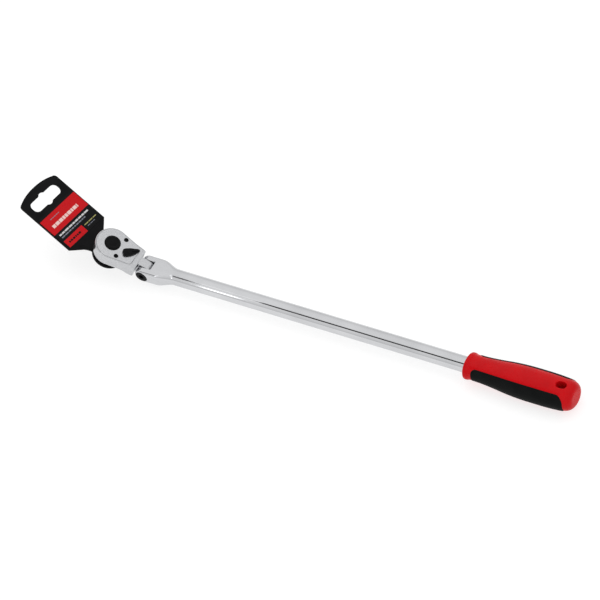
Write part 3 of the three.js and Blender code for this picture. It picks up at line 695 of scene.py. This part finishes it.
# ---- grip
GRIP_WIDTH_RATIO = 1.155
GRIP_LENGTH = GRIP_END - GRIP_START
GRIP_AROUND = 160
# Half height along the grip, counted from its front end.
GRIP_STATIONS = [(0, 9.6), (0.35, 10.15), (1.0, 10.5), (2.1, 10.55), (3.1, 10.45), (4.2, 10.1), (5.4, 9.9),
                 (8.2, 9.8), (15.2, 9.95), (27.2, 10.8), (41.2, 12.15), (55.2, 12.85), (68.2, 12.94),
                 (78.2, 12.85), (86.2, 12.5), (92.2, 12.0), (96.2, 11.0), (98.6, 9.5), (99.8, 7.8),
                 (GRIP_LENGTH, 5.8), (GRIP_LENGTH, 0.02)]
PANEL_START = 7.7
PANEL_END = 94.2
PANEL_SHARE = 0.78  # height of the panel's edges over the grip's half height
PANEL_FRONT_CORNER = 4.0
PANEL_REAR_CORNER = 6.5
PANEL_SINK = -1.4  # the panel's hidden side, under the grip's surface
PANEL_PROUD = 0.28
# The panel's rounded edge: share of the outline, and how proud of the grip's surface.
PANEL_EDGE = [(1.0, PANEL_SINK), (1.0, -0.35), (0.996, -0.05), (0.985, 0.14), (0.965, 0.24),
              (0.94, PANEL_PROUD)]
HOLE_X = 88.7
HOLE_HALF_LENGTH = 4.6
HOLE_HALF_WIDTH = 3.3
HOLE_PROUD = 0.5
# The hole's flared mouth: depth, and how far its edge is opened there.
HOLE_FLARE = [(0, 1.6), (0.06, 1.15), (0.22, 0.75), (0.5, 0.38), (0.95, 0.1), (1.5, 0)]


def spline(stations, per_gap=6):
    """A smooth curve through the stations that doesn't overshoot them."""
    points = np.array(stations, float)
    chord = np.concatenate([[0], np.cumsum(np.linalg.norm(np.diff(points, axis=0), axis=1))])
    slopes = np.gradient(points, chord, axis=0)
    flat = np.diff(points, axis=0) / np.diff(chord)[:, None]
    before, after = flat[:-1], flat[1:]
    limit = 3 * np.minimum(abs(before), abs(after)) * (before * after > 0)
    slopes[1:-1] = np.clip(slopes[1:-1], -limit, limit)
    out = []
    for p, q, from_p, to_q, length in zip(points, points[1:], slopes, slopes[1:], np.diff(chord)):
        for t in np.arange(per_gap) / per_gap:
            a, b = 2 * t ** 3 - 3 * t ** 2 + 1, t ** 3 - 2 * t ** 2 + t
            c, d = -2 * t ** 3 + 3 * t ** 2, t ** 3 - t ** 2
            out.append(a * p + b * length * from_p + c * q + d * length * to_q)
    return np.array([*out, points[-1]])


GRIP_CURVE = spline(GRIP_STATIONS)
END_POINTS = 8  # the curve's last points turn down over the grip's end
GRIP_SIDE = GRIP_CURVE[:-END_POINTS]


def grip_height(along):
    return np.interp(along, GRIP_SIDE[:, 0], GRIP_SIDE[:, 1])


def grip_point(along, angle, proud):
    """A point proud of the grip's surface; angle is counted from the top towards the left."""
    height = grip_height(along) + proud
    width = grip_height(along) * GRIP_WIDTH_RATIO + proud
    return np.array([GRIP_START + along, width * sin(angle), height * cos(angle)])


def make_grip_core():
    angles = turn_steps(GRIP_AROUND)
    made = loft([np.column_stack([np.full(GRIP_AROUND, GRIP_START + along),
                                  height * GRIP_WIDTH_RATIO * np.sin(angles),
                                  height * np.cos(angles)]) for along, height in GRIP_CURVE])
    bore_radius = BAR_RADIUS + RUNNING_GAP
    bore = turned([(bore_radius + 0.5, GRIP_START - 0.3), (bore_radius, GRIP_START + 0.4),
                   (bore_radius, TAIL_START + 0.3)], corner=0)
    tail_bore = loft([tail_ring(x, -RUNNING_GAP) for x in (TAIL_START - 1, TAIL_END + 0.4)])
    hole = rounded_bar(HOLE_HALF_LENGTH, HOLE_HALF_WIDTH, HOLE_HALF_WIDTH - 0.02, 16)
    hole = hole + (GRIP_START + HOLE_X, 0)
    top = float(grip_height(HOLE_X)) + HOLE_PROUD
    mouth = [(top - depth, out) for depth, out in HOLE_FLARE]
    profile = mouth + [(-z, out) for z, out in mouth[::-1]]
    hole_cutter = loft([flat_ring(offset_ring(hole, -out), z) for z, out in profile])
    made = cut(made, along_x(bore), tail_bore, hole_cutter)
    finish_piece(made, "grip_red_body", "grip_core", "handle", "red_plastic")


def panel_length(step):
    """Length of a step whose second coordinate is a share of the grip's half height."""
    return abs(step[0]) + 11 * abs(step[1])


def panel_outline():
    """The panel's edge as (along, share of the half height), anticlockwise seen from outside."""
    height = float(grip_height((PANEL_START + PANEL_END) / 2))
    front, rear = PANEL_FRONT_CORNER, PANEL_REAR_CORNER
    corners = ((PANEL_END - rear, rear, -1, -90), (PANEL_END - rear, rear, 1, 0),
               (PANEL_START + front, front, 1, 90), (PANEL_START + front, front, -1, 180))
    parts = []
    for x, radius, side, start in corners:
        tall = radius / height
        round_corner = arc(0, 0, 1, start, start + 90, 10) * (radius, tall)
        parts.append(round_corner + (x, side * (PANEL_SHARE - tall)))
    return dense(path(*parts), 1.1, panel_length)


def make_panel(side, name, node):
    """A soft insert with rounded edges, nearly flush with the grip."""
    outline = panel_outline()[::side]
    reach = PANEL_REAR_CORNER * 1.05
    spine = np.clip(outline[:, 0], PANEL_START + reach, PANEL_END - reach)
    spine = np.column_stack([spine, np.zeros(len(outline))])
    levels = [(share, PANEL_SINK) for share in (0, 0.3, 0.6, 0.85)]
    levels += PANEL_EDGE
    levels += [(share, PANEL_PROUD) for share in (0.85, 0.7, 0.55, 0.4, 0.25, 0.12, 0)]
    rings = []
    for share, proud in levels:
        ring = spine + (outline - spine) * share
        angles = side * np.arccos(np.clip(ring[:, 1], -1, 1))
        rings.append([grip_point(x, angle, proud) for x, angle in zip(ring[:, 0], angles)])
    finish_piece(loft(rings, capped=False), name, node, "handle", "black_rubber")


make_grip_core()
make_panel(1, "grip_insert_left", "grip_panel_left")
make_panel(-1, "grip_insert_right", "grip_panel_right")

# ---- head
HEAD_RADIUS = 14.5
HEAD_LOW = -8.0
RIM_TOP = 7.4
COVER_TOP = 8.0
ABOVE_HEAD = 9.0  # where the cutters that open upwards end
FLANK_X = 19.5
FLANK_HALF_WIDTH = 10.7
FLANK_LEAD = 4.0  # how far ahead of FLANK_X the flank starts to bend
SHOULDER_X = 27.0
SHOULDER_HALF_WIDTH = 10.2
SHOULDER_HALF_HEIGHT = 6.5
SHOULDER_CORNER = 1.2
UNDERSIDE_RISE = 14.0
NOSE_ROUND = 5.2  # between the head's sides and its underside
SHOULDER_ROUND = 1.0
RIM_ROUND = 0.7
TONGUE_ROOT = 25.5
TONGUE_HALF_WIDTH = 3.95
TONGUE_RADIUS = 6.2
TONGUE_CORNER = 0.55
TONGUE_FILLET = 1.0
COVER_INSET = 0.95
COVER_END = 22.4
COVER_CORNER = 4.0
COVER_LOW = 5.7
COVER_ROUND = 0.75
SEAM = 0.09
SCREW_X = 8.2
SCREW_Y = 9.0
SCREW_BORE = 1.0
COUNTERSINK_MOUTH = 2.2
BUTTON_RADIUS = 6.5
BUTTON_GAP = 0.3
SEAL_RADIUS = 2.85
SEAL_WIRE = 0.33
SEAL_Z = 7.0
CAVITY_RADIUS = 9.75
CAVITY_FLOOR = -4.8
PIN_BORE_FLOOR = -6.6
JOURNAL_RADIUS = 8.0
JOURNAL_LOW = -8.9


def head_outline():
    """Plan of the head: a round nose whose tangents run back to the shoulders."""
    slope = (HEAD_RADIUS - FLANK_HALF_WIDTH) / FLANK_X
    leave = 90 - degrees(atan(slope)) * 1.06
    start = (FLANK_X - FLANK_LEAD, -FLANK_HALF_WIDTH - FLANK_LEAD * slope)
    flank = bend(start, (FLANK_X, -FLANK_HALF_WIDTH),
                 (SHOULDER_X - SHOULDER_CORNER, -SHOULDER_HALF_WIDTH - 0.05), 12)
    corner = bend(flank[-1], (SHOULDER_X, -SHOULDER_HALF_WIDTH),
                  (SHOULDER_X, -SHOULDER_HALF_WIDTH + SHOULDER_CORNER), 6)
    right = np.concatenate([flank, corner])
    left = (right * (1, -1))[::-1]
    return dense(path(arc(0, 0, HEAD_RADIUS, leave, 360 - leave, 110), right, left), 0.8)


def cover_outline():
    """The head's outline moved inwards, and closed in front of the shoulders."""
    ring = offset_ring(head_outline(), COVER_INSET)
    ring = ring[ring[:, 0] < COVER_END - COVER_CORNER]
    gap = int(np.argmax(np.linalg.norm(np.diff(ring, axis=0), axis=1))) + 1
    right, left = ring[:gap], ring[gap:]
    side = right[-1][1]
    corner = bend(right[-1], (COVER_END, side + 0.5), (COVER_END, side + 3.6), 10)
    return dense(path(right, corner, (corner * (1, -1))[::-1], left), 0.8)


def head_low(x):
    """The underside rises gently towards the shoulder."""
    t = np.clip((x - UNDERSIDE_RISE) / (SHOULDER_X - UNDERSIDE_RISE), 0, 1)
    return HEAD_LOW + (-SHOULDER_HALF_HEIGHT - HEAD_LOW) * t


def head_top(x):
    """The rim falls behind the cover to the height of the shoulder."""
    return ramp(x, COVER_END + 0.3, SHOULDER_X, RIM_TOP, SHOULDER_HALF_HEIGHT)


def head_low_edge(x):
    """The round at the underside is large at the nose and small at the shoulder."""
    return ramp(x, 13, 25, NOSE_ROUND, SHOULDER_ROUND)


def tongue_ring(x):
    """Section of the tongue at x, flared where it leaves the shoulder."""
    beyond = max(x - PIVOT_DISTANCE, 0.0)
    half_height = sqrt(max(TONGUE_RADIUS ** 2 - beyond ** 2, 0.05))
    before_fillet_end = max(SHOULDER_X + TONGUE_FILLET - x, 0.0)
    flare = TONGUE_FILLET - sqrt(max(TONGUE_FILLET ** 2 - before_fillet_end ** 2, 0.0))
    half_width = TONGUE_HALF_WIDTH + flare
    corner = min(TONGUE_CORNER, half_height * 0.9)
    outline = rounded_bar(half_width, half_height, corner, 6)
    return np.column_stack([np.full(len(outline), x), outline])


def make_tongue(end_steps=20):
    fillet = SHOULDER_X + np.array([0.001, 0.06, 0.15, 0.3, 0.5, 0.75, TONGUE_FILLET])
    turns = np.linspace(0, pi / 2, end_steps + 1)
    end = PIVOT_DISTANCE + TONGUE_RADIUS * np.sin(turns)
    return loft([tongue_ring(x) for x in (TONGUE_ROOT, *fillet, SHOULDER_X + 4, *end)])


def pawl_pocket():
    """The wheel's cavity opened backwards for the pawl and round the lever's shaft."""
    return mirrored((5, -6.9), bend((11.5, -6.9), (13.2, -6.2), (14.4, -3.6), 6),
                    arc(LEVER_X, 0, 3.9, -113.4, 0, 12))


def make_head():
    body = slab(head_outline(), head_low, head_top, head_low_edge, RIM_ROUND, 8)
    pocket = pawl_pocket()
    journal_bore = JOURNAL_RADIUS + RUNNING_GAP
    pivot_bore = along_y(rod(SCREW_SHANK_RADIUS + 0.25, -8, 8))
    cutters = [
        flared(offset_ring(cover_outline(), -SEAM), COVER_LOW - 0.1, RIM_TOP, 0.07),
        rod(CAVITY_RADIUS, CAVITY_FLOOR, ABOVE_HEAD, 120),
        turned([(JOURNAL_RADIUS + 0.7, HEAD_LOW - 0.3), (journal_bore, HEAD_LOW + 0.3),
                (journal_bore, CAVITY_FLOOR + 1)], 120, 0),
        loft([flat_ring(pocket, CAVITY_FLOOR), flat_ring(pocket, ABOVE_HEAD)]),
        at(rod(1.8, PIN_BORE_FLOOR, CAVITY_FLOOR + 1, 40), LEVER_X),
        at(rod(0.85, PIN_BORE_FLOOR, CAVITY_FLOOR + 1, 32), PAWL_PIN_X),
        at(pivot_bore, PIVOT_DISTANCE),
    ]
    cutters += [at(rod(SCREW_BORE, 0.5, ABOVE_HEAD, 32), SCREW_X, side * SCREW_Y) for side in (-1, 1)]
    made = cut(join(body, make_tongue()), *cutters)
    finish_piece(made, "ratchet_head", "head_body", "head", "satin_chrome")


def make_cover():
    made = slab(cover_outline(), COVER_LOW, COVER_TOP, 0, COVER_ROUND, 6)
    below = COVER_LOW - 1
    cutters = [flared(circle(BUTTON_RADIUS + BUTTON_GAP), below, COVER_TOP, 0.2),
               at(flared(circle(SEAL_RADIUS + SEAL_WIRE + 0.12), below, COVER_TOP, 0.15), LEVER_X)]
    for side in (-1, 1):
        mouth = loft([flat_ring(circle(SCREW_BORE - 0.05, 48), COVER_TOP - 1.3),
                      flat_ring(circle(COUNTERSINK_MOUTH, 48), COVER_TOP + 0.2)])
        cutters.append(at(rod(SCREW_BORE, below, COVER_LOW + 1.2, 48), SCREW_X, side * SCREW_Y))
        cutters.append(at(mouth, SCREW_X, side * SCREW_Y))
    finish_piece(cut(made, *cutters), "head_cover", "cover_plate", "head", "satin_chrome")


def make_cover_screw(side, name, node):
    top = COVER_TOP - 0.1
    made = turned([(AXIS, 1), (0.5, 1), (0.8, 1.4), (0.8, top - 0.95), (2.02, top - 0.12), (1.94, top),
                   (AXIS, top)], 64, 0.12)
    made = at(cut(made, flared(hexagon(1.5), top - 1, top, 0.08)), SCREW_X, side * SCREW_Y)
    finish_piece(made, name, node, "head", "black_oxide")


def washer(inner, outer, low, high, edge=0.08):
    """A flat ring with chamfered edges."""
    under = [(inner, low + edge), (inner + edge, low), (outer - edge, low), (outer, low + edge)]
    over = [(outer, high - edge), (outer - edge, high), (inner + edge, high), (inner, high - edge)]
    return revolved(under + over, 120)


make_head()
make_cover()
make_cover_screw(1, "cover_screw_a", "cover_screw_left")
make_cover_screw(-1, "cover_screw_b", "cover_screw_right")
o_ring = at(revolved(circle(SEAL_WIRE, 20) + (SEAL_RADIUS, 0), 64), LEVER_X, 0, SEAL_Z)
finish_piece(o_ring, "lever_o_ring", "lever_seal", "head", "seal_rubber")
finish_piece(washer(8.4, 9.3, 4.4, 4.9), "thrust_washer", "gear_washer", "head", "steel")
pin = at(turned([(0.55, -6.4), (0.7, -6.2), (0.7, 5.4), (0.55, 5.6)], 40, 0.1), PAWL_PIN_X)
finish_piece(pin, "pawl_pivot_pin", "pawl_pin", "head", "steel")

# ---- drive and quick release
DRIVE_HALF = 4.765
DRIVE_END = -20.5
DRIVE_CORNER = 0.9
# The rounded end of the square: height above the end, and how far the faces step in there.
DRIVE_NOSE = [(0, 0.95), (0.06, 0.75), (0.55, 0.25), (0.8, 0.08), (1.15, 0)]
GEAR_LOW, GEAR_HIGH = -4.5, 4.2
TEETH = 72
TOOTH_TIP, TOOTH_ROOT = 9.4, 8.9
TOOTH_CHAMFER = 0.25
TOOTH_END_SCALE = 0.975
COLLAR_RADIUS, COLLAR_TOP = 8.2, 5.6
BUTTON_WELL_FLOOR = 1.6
SPRING_WELL_RADIUS, SPRING_WELL_FLOOR = 4.6, -4.0
BALL_RADIUS, BALL_X, BALL_Z = 1.6, 3.76, -14.5
ROD_RADIUS, ROD_WAIST = 2.0, 1.1
ROD_BORE_FLOOR = -19.0
BUTTON_LOW, BUTTON_TOP = 5.2, 9.6
COIL_RADIUS, COIL_WIRE = 3.6, 0.4
COIL_ROOM = 0.62  # half width of the groove under the button that takes the coil


def square_ring(z, inset):
    half = DRIVE_HALF - inset
    return flat_ring(rounded_bar(half, half, DRIVE_CORNER), z)


def make_gear():
    outline = circle(1, 2 * TEETH) * np.array([TOOTH_TIP, TOOTH_ROOT] * TEETH)[:, None]
    ends = outline * TOOTH_END_SCALE
    return loft([flat_ring(ends, GEAR_LOW), flat_ring(outline, GEAR_LOW + TOOTH_CHAMFER),
                 flat_ring(outline, GEAR_HIGH - TOOTH_CHAMFER), flat_ring(ends, GEAR_HIGH)])


def make_anvil():
    """Square, journal, toothed wheel and collar in one, bored for what goes inside."""
    square = loft([*(square_ring(DRIVE_END + height, inset) for height, inset in DRIVE_NOSE),
                   square_ring(JOURNAL_LOW + 1, 0)])
    journal = turned([(JOURNAL_RADIUS - 0.6, JOURNAL_LOW), (JOURNAL_RADIUS, JOURNAL_LOW + 0.6),
                      (JOURNAL_RADIUS, GEAR_LOW + 0.5)], 120, 0.2)
    collar = turned([(COLLAR_RADIUS, GEAR_HIGH - 0.5), (COLLAR_RADIUS, COLLAR_TOP - 0.3),
                     (COLLAR_RADIUS - 0.3, COLLAR_TOP)], 120, 0.1)
    ball_bore = turned([(BALL_RADIUS + 0.12, 0), (BALL_RADIUS + 0.12, DRIVE_HALF - 0.25),
                        (BALL_RADIUS + 0.5, DRIVE_HALF + 0.1)], 48, 0)
    made = cut(join(journal, square, make_gear(), collar),
               rod(BUTTON_RADIUS + BUTTON_GAP, BUTTON_WELL_FLOOR, 7, 96),
               rod(SPRING_WELL_RADIUS, SPRING_WELL_FLOOR, 3),
               rod(ROD_RADIUS + 0.3, ROD_BORE_FLOOR, 0, 48),
               at(along_x(ball_bore), 0, 0, BALL_Z))
    finish_piece(made, "drive_square", "drive_anvil", "drive", "satin_chrome")


def make_button():
    """A dished button, with a socket for the rod and a groove for the coil."""
    radius, low, top = BUTTON_RADIUS, BUTTON_LOW, BUTTON_TOP
    socket = ROD_RADIUS + RUNNING_GAP
    groove_in, groove_out = COIL_RADIUS - COIL_ROOM, COIL_RADIUS + COIL_ROOM
    groove_top = low + BUTTON_TRAVEL + 0.1
    under = [(AXIS, low + 2), (socket, low + 2), (socket, low), (groove_in, low), (groove_in, groove_top),
             (groove_out, groove_top), (groove_out, low), (radius - 0.3, low), (radius, low + 0.3)]
    over = [(radius, top - 0.9), (radius - 0.8, top), (radius - 1.7, top), (radius - 2.4, top - 0.45),
            (2.4, top - 0.45), (AXIS, top - 0.15)]
    made = turned(under + over, 120, 0.45)
    finish_piece(made, "quick_release_button", "release_button", "release", "black_plastic")


def make_rod():
    """A plunger whose waist comes level with the ball when the button is down."""
    waist = BALL_Z + BUTTON_TRAVEL
    top = BUTTON_LOW + 1.8
    made = turned([(AXIS, BALL_Z - 1.2), (1.6, BALL_Z - 1.2), (ROD_RADIUS, BALL_Z - 0.8),
                   (ROD_RADIUS, BALL_Z), (ROD_WAIST, waist), (ROD_WAIST, waist + 1.9),
                   (ROD_RADIUS, waist + 2.4), (ROD_RADIUS, top), (AXIS, top)], 64, 0.2)
    finish_piece(made, "release_plunger", "release_rod", "release", "steel")


make_anvil()
make_button()
make_rod()
release_coil = coil(COIL_RADIUS, COIL_WIRE, SPRING_WELL_FLOOR + 0.1, BUTTON_LOW - 0.1, 4)
finish_piece(release_coil, "release_coil", "release_spring", "drive", "steel")
socket_ball = at(ball(BALL_RADIUS), BALL_X, 0, BALL_Z)
finish_piece(socket_ball, "socket_ball_bearing", "socket_detent_ball", "socket_ball", "steel")
finish_piece(at(ball(1.8), 8.3), "flex_ball_bearing", "flex_detent_ball", "handle", "steel")
finish_piece(along_x(coil(1.45, 0.3, 10.2, 19.8, 6)), "flex_coil", "flex_detent_spring", "handle", "steel")

# ---- direction lever
LEVER_LOW, LEVER_TOP = 8.25, 10.3
LEVER_BACK = (-5.6, -1.4)
LEVER_WIDEST = (-2.8, -3.4)
LEVER_NECK = (4.2, -2.3)
LEVER_TIP = (9, 0)


def lever_outline():
    """A leaf, widest beside the shaft and narrow at the thumb end."""
    return dense(mirrored(bend(LEVER_BACK, (-5.4, -3.3), LEVER_WIDEST, 10),
                          bend(LEVER_WIDEST, (1.5, -3.4), LEVER_NECK, 12),
                          bend(LEVER_NECK, (9, -1.7), LEVER_TIP, 16)), 0.5)


def make_lever():
    tab = slab(lever_outline(), LEVER_LOW, LEVER_TOP, 0.25, 0.7, 7)
    thumb = slab(rounded_box(2.2, 8.2, -0.85, 0.85, 0.8), LEVER_TOP - 0.5, LEVER_TOP + 0.8, 0, 0.5, 6)
    boss = slab(circle(2.3, 72), LEVER_TOP - 0.5, LEVER_TOP + 0.35, 0, 0.35)
    shaft = turned([(1.3, -6.3), (1.5, -6.1), (1.5, -4.2), (2.4, -4.2), (2.4, LEVER_LOW + 0.5)], 64, 0.1)
    made = cut(join(tab, thumb, boss, shaft), along_x(rod(1.0, -5, 1.2, 40)))
    finish_piece(made, "reverse_lever", "direction_lever", "lever", "black_plastic")


def finish_pawl():
    """The pawl is hidden in the head, and keeps its CAD mesh with its edges broken."""
    pawl = frame["nodes"]["pawl"]
    pawl.data.materials.clear()
    pawl.data.materials.append(FINISHES["steel"])
    pawl.modifiers.new("weld", "WELD").merge_threshold = 0.001 * MM
    edges = pawl.modifiers.new("edges", "BEVEL")
    edges.width = 0.08 * MM
    edges.segments = 2
    edges.limit_method = "ANGLE"


make_lever()
finish_piece(at(ball(0.85), -2.2), "lever_ball_bearing", "lever_ball", "lever", "steel")
finish_piece(along_x(coil(0.62, 0.15, -1.3, 1.1, 4)), "lever_coil", "lever_spring", "lever", "steel")
finish_pawl()

# ---- hang tag
TAG_LOW, TAG_TOP = -11.1, -9.3
TAG_HALF_WIDTH = 22.5
TAG_CROWN = (-84.6, 0)
TAG_CROWN_END = (-81, -19.5)
TAG_SIDE_START = (-77, -TAG_HALF_WIDTH)
TAG_SIDE_END = (-24.8, -TAG_HALF_WIDTH)
TAG_NECK = (-16.6, -12.4)
TAG_RING = 14.1
TAG_HOLE = 6.5
TAG_MEET = asin(0.65)  # where the neck meets the ring
EURO_X = -70.8
EURO_END_X, EURO_END_Y, EURO_END_RADIUS = 0.8, 11.6, 4.4
EURO_BUMP_X, EURO_BUMP_RADIUS = 2.5, 4.2
LABEL_FROM, LABEL_TO, LABEL_HALF_WIDTH = 25.5, 61.0, 21.6
LABEL_THICKNESS = 0.2
LABEL_GAP = 0.05


def tag_outline():
    """Half of the card from its crown to its ring, mirrored."""
    meeting = TAG_RING * -np.array([cos(TAG_MEET), sin(TAG_MEET)])
    return dense(mirrored(bend(TAG_CROWN, (TAG_CROWN[0], -11.25), TAG_CROWN_END, 14),
                          bend(TAG_CROWN_END, (-80.4, -TAG_HALF_WIDTH), TAG_SIDE_START, 8),
                          TAG_SIDE_END,
                          bend(TAG_NECK, (-13.2, -9.6), meeting, 8),
                          arc(0, 0, TAG_RING, 180 + degrees(TAG_MEET), 360, 60)), 1.5)


def hang_slot_outline():
    """Euro hanging slot: a long bar with a round bump on each side."""
    bar_half_width = EURO_END_X + EURO_END_RADIUS
    bump_end = degrees(acos((bar_half_width - EURO_BUMP_X) / EURO_BUMP_RADIUS))
    quarter = np.concatenate([arc(EURO_BUMP_X, 0, EURO_BUMP_RADIUS, 0, bump_end, 12),
                              arc(EURO_END_X, EURO_END_Y, EURO_END_RADIUS, 0, 90)])
    half = np.concatenate([quarter, (quarter * (-1, 1))[::-1]])
    return path(half, half * (-1, -1)) + (EURO_X, 0)


def make_tag():
    made = slab(tag_outline(), TAG_LOW, TAG_TOP, 0.3, 0.3, 4)
    made = cut(made, *(through(hole, TAG_LOW, TAG_TOP) for hole in (circle(TAG_HOLE), hang_slot_outline())))
    finish_piece(made, "tag_card", "hang_tag", "tag", "tag_plastic")


INK_BLACK = (0.004, 0.004, 0.0045)
INK_RED = (0.56, 0.006, 0.01)
INK_PINK = (0.86, 0.6, 0.56)
INK_WHITE = (0.62, 0.62, 0.62)
INK_GREY = (0.2, 0.21, 0.25)
INK_YELLOW = (0.36, 0.34, 0.12)


def words(near, far, start, end, longest, gap, ink, seed):
    """A row of uneven bars in place of a line of print, with nothing to read."""
    rng = np.random.default_rng(seed)
    row, at_y = [], start
    while at_y < end - gap:
        stop = min(at_y + longest * rng.uniform(0.45, 1), end)
        row.append((near, far, at_y, stop, ink))
        at_y = stop + gap
    return row


# Printed blocks as (nearest, farthest from the drive axis, right edge, left edge, ink), later ones on top.
BLOCKS = [
    (42.0, 58.5, -21.6, 21.6, INK_RED),
    (25.6, 33.2, -20.2, 2.5, INK_RED),
    *words(46.6, 49.6, -16.5, 14.5, 4.2, 0.55, INK_PINK, 7),
    *words(54.0, 54.7, -13.0, -2.0, 2.4, 0.5, INK_GREY, 9),
    *words(38.2, 39.7, -18.5, 17.5, 5.2, 0.55, INK_WHITE, 3),
    *words(35.7, 36.8, -18.5, 11.5, 4.2, 0.6, INK_GREY, 5),
    *words(30.8, 31.7, 4.5, 19.0, 5.0, 0.6, INK_YELLOW, 13),
    *words(28.6, 29.2, 6.0, 15.0, 3.4, 0.6, INK_GREY, 15),
    *words(28.6, 30.3, -17.0, -2.5, 3.0, 0.6, INK_BLACK, 11),
]


def ink_at(x, y):
    """The ink of the last block that covers a place on the label."""
    color = INK_BLACK
    for near, far, right, left, ink in BLOCKS:
        if near < -x < far and right < y < left:
            color = ink
    return color


def make_label():
    """A thin film in a grid along the blocks' edges, coloured cell by cell."""
    xs = sorted({-LABEL_TO, -LABEL_FROM, *(-edge for block in BLOCKS for edge in block[:2])})
    ys = sorted({-LABEL_HALF_WIDTH, LABEL_HALF_WIDTH, *(edge for block in BLOCKS for edge in block[2:4])})
    low = TAG_TOP + LABEL_GAP
    high = low + LABEL_THICKNESS
    points, faces = [], []
    for x0, x1 in zip(xs, xs[1:]):
        for y0, y1 in zip(ys, ys[1:]):
            first = len(points)
            corners = [(x0, y0), (x1, y0), (x1, y1), (x0, y1)]
            points += [(x, y, z) for z in (high, low) for x, y in corners]
            faces += [[first + k for k in side] for side in ((0, 1, 2, 3), (7, 6, 5, 4))]
            on_edge = (y0 == ys[0], x1 == xs[-1], y1 == ys[-1], x0 == xs[0])
            for a in (k for k in range(4) if on_edge[k]):
                b = (a + 1) % 4
                faces.append((first + a, first + a + 4, first + b + 4, first + b))
    made = mesh_object(points, faces)
    ink = made.data.color_attributes.new(INK, "FLOAT_COLOR", "CORNER")
    for polygon in made.data.polygons:
        color = ink_at(polygon.center.x, polygon.center.y)
        for loop in polygon.loop_indices:
            ink.data[loop].color = (*color, 1)
    finish_piece(made, "label_print", "tag_label", "tag", "tag_print")


make_tag()
make_label()

# ---- stage
FLOOR_HALF = 4
KEY_TOWARD = Vector((-0.4, 0.5, 1.2)).normalized()
KEY_AIM = FLEX_PIVOT + Vector((0.15, 0, 0))
KEY_DISTANCE = 2.5
KEY_SIZE = 2.2
KEY_POWER = 9
CARD_DISTANCE = 0.3
GAP_HALF_WIDTH = 0.1  # sine of the dark gap's half angle as the bar reflects it
GAP_FADE = 1.6
GAP_DARKNESS = 0.97
# The bar lies along X, so all that it reflects to the camera lies on a cone round X: at MIRROR_X along
# the axis, and at MIRROR_RADIUS from it.
MIRROR_X = -TO_CAMERA.x
MIRROR_RADIUS = hypot(TO_CAMERA.y, TO_CAMERA.z)


def add_floor():
    n = Nodes(bpy.data.materials.new("studio_floor"))
    n.set(Base_Color=n.mix(n.noise(3, 2), (0.34, 0.34, 0.34), (0.36, 0.36, 0.36)))
    n.set(Roughness=0.9, Specular_IOR_Level=0.0, Emission_Color=(1, 1, 1, 1), Emission_Strength=0.72)
    corners = [(-1, -1), (1, -1), (1, 1), (-1, 1)]
    points = [(x * FLOOR_HALF, y * FLOOR_HALF, cad_box[0].z) for x, y in corners]
    floor = mesh_object(points, [(0, 1, 2, 3)], "floor")
    floor.data.materials.append(n.owner)


def add_area_light(name, matrix, width, depth, power):
    data = bpy.data.lights.new(name, "AREA")
    data.shape = "RECTANGLE"
    data.size, data.size_y = width, depth
    data.energy = power
    light = add_object(name, data)
    light.matrix_world = matrix
    return light


def add_key():
    """A large soft light from above and behind, which polished faces don't show."""
    turn = KEY_TOWARD.to_track_quat("Z", "Y").to_matrix().to_4x4()
    matrix = Matrix.Translation(KEY_AIM + KEY_TOWARD * KEY_DISTANCE) @ turn
    add_area_light("key", matrix, KEY_SIZE, KEY_SIZE, KEY_POWER).visible_glossy = False


def add_card(name, along, length, slant, width, level):
    """A small light that only polished faces show, on a stretch of the bar's dark line."""
    turn = radians(slant)
    facing = Vector((0, -sin(turn), cos(turn)))
    toward = Vector((MIRROR_X, 0, 0)) + facing * MIRROR_RADIUS
    forward = Vector((1, 0, 0))
    axes = Matrix((forward, facing.cross(forward), facing)).transposed().to_4x4()
    middle = FLEX_PIVOT + forward * along * MM + toward * CARD_DISTANCE
    power = level * pi * length * width * MM * MM
    card = add_area_light(name, Matrix.Translation(middle) @ axes, length * MM, width * MM, power)
    card.visible_diffuse = False


def add_world():
    """A pale tent with one narrow dark gap, which draws the fine line along the bar."""
    world = bpy.data.worlds.new("studio")
    n = Nodes(world)
    x, y, z = n.add("SeparateXYZ", Vector=n.add("TexCoord").outputs["Generated"]).outputs
    height = n.math("ADD", n.math("MULTIPLY", y, TO_CAMERA.z / MIRROR_RADIUS),
                    n.math("MULTIPLY", z, -TO_CAMERA.y / MIRROR_RADIUS))
    from_gap = n.step(n.math("ABSOLUTE", height), GAP_HALF_WIDTH, GAP_HALF_WIDTH * GAP_FADE)
    from_cone = n.step(n.math("ABSOLUTE", n.math("SUBTRACT", x, MIRROR_X)), 0.12, 0.3)
    in_gap = n.math("MULTIPLY", n.math("SUBTRACT", 1.0, from_gap), n.math("SUBTRACT", 1.0, from_cone))
    dark = n.math("MULTIPLY", in_gap, GAP_DARKNESS)
    tent = n.math("ADD", n.math("MULTIPLY", n.step(z, -0.1, 0.9), 0.25), 0.78)
    level = n.math("MULTIPLY", tent, n.math("SUBTRACT", 1.0, dark))
    n.fill(n.tree.nodes["Background"], Strength=level, Color=(1, 1, 1, 1))
    bpy.context.scene.world = world


add_floor()
add_world()
add_key()
add_card("plain_card", 80, 68, 33, 100, 0.9)
add_card("bright_card", 75, 38, 62, 60, 2.0)
bpy.context.scene.view_settings.view_transform = "Standard"
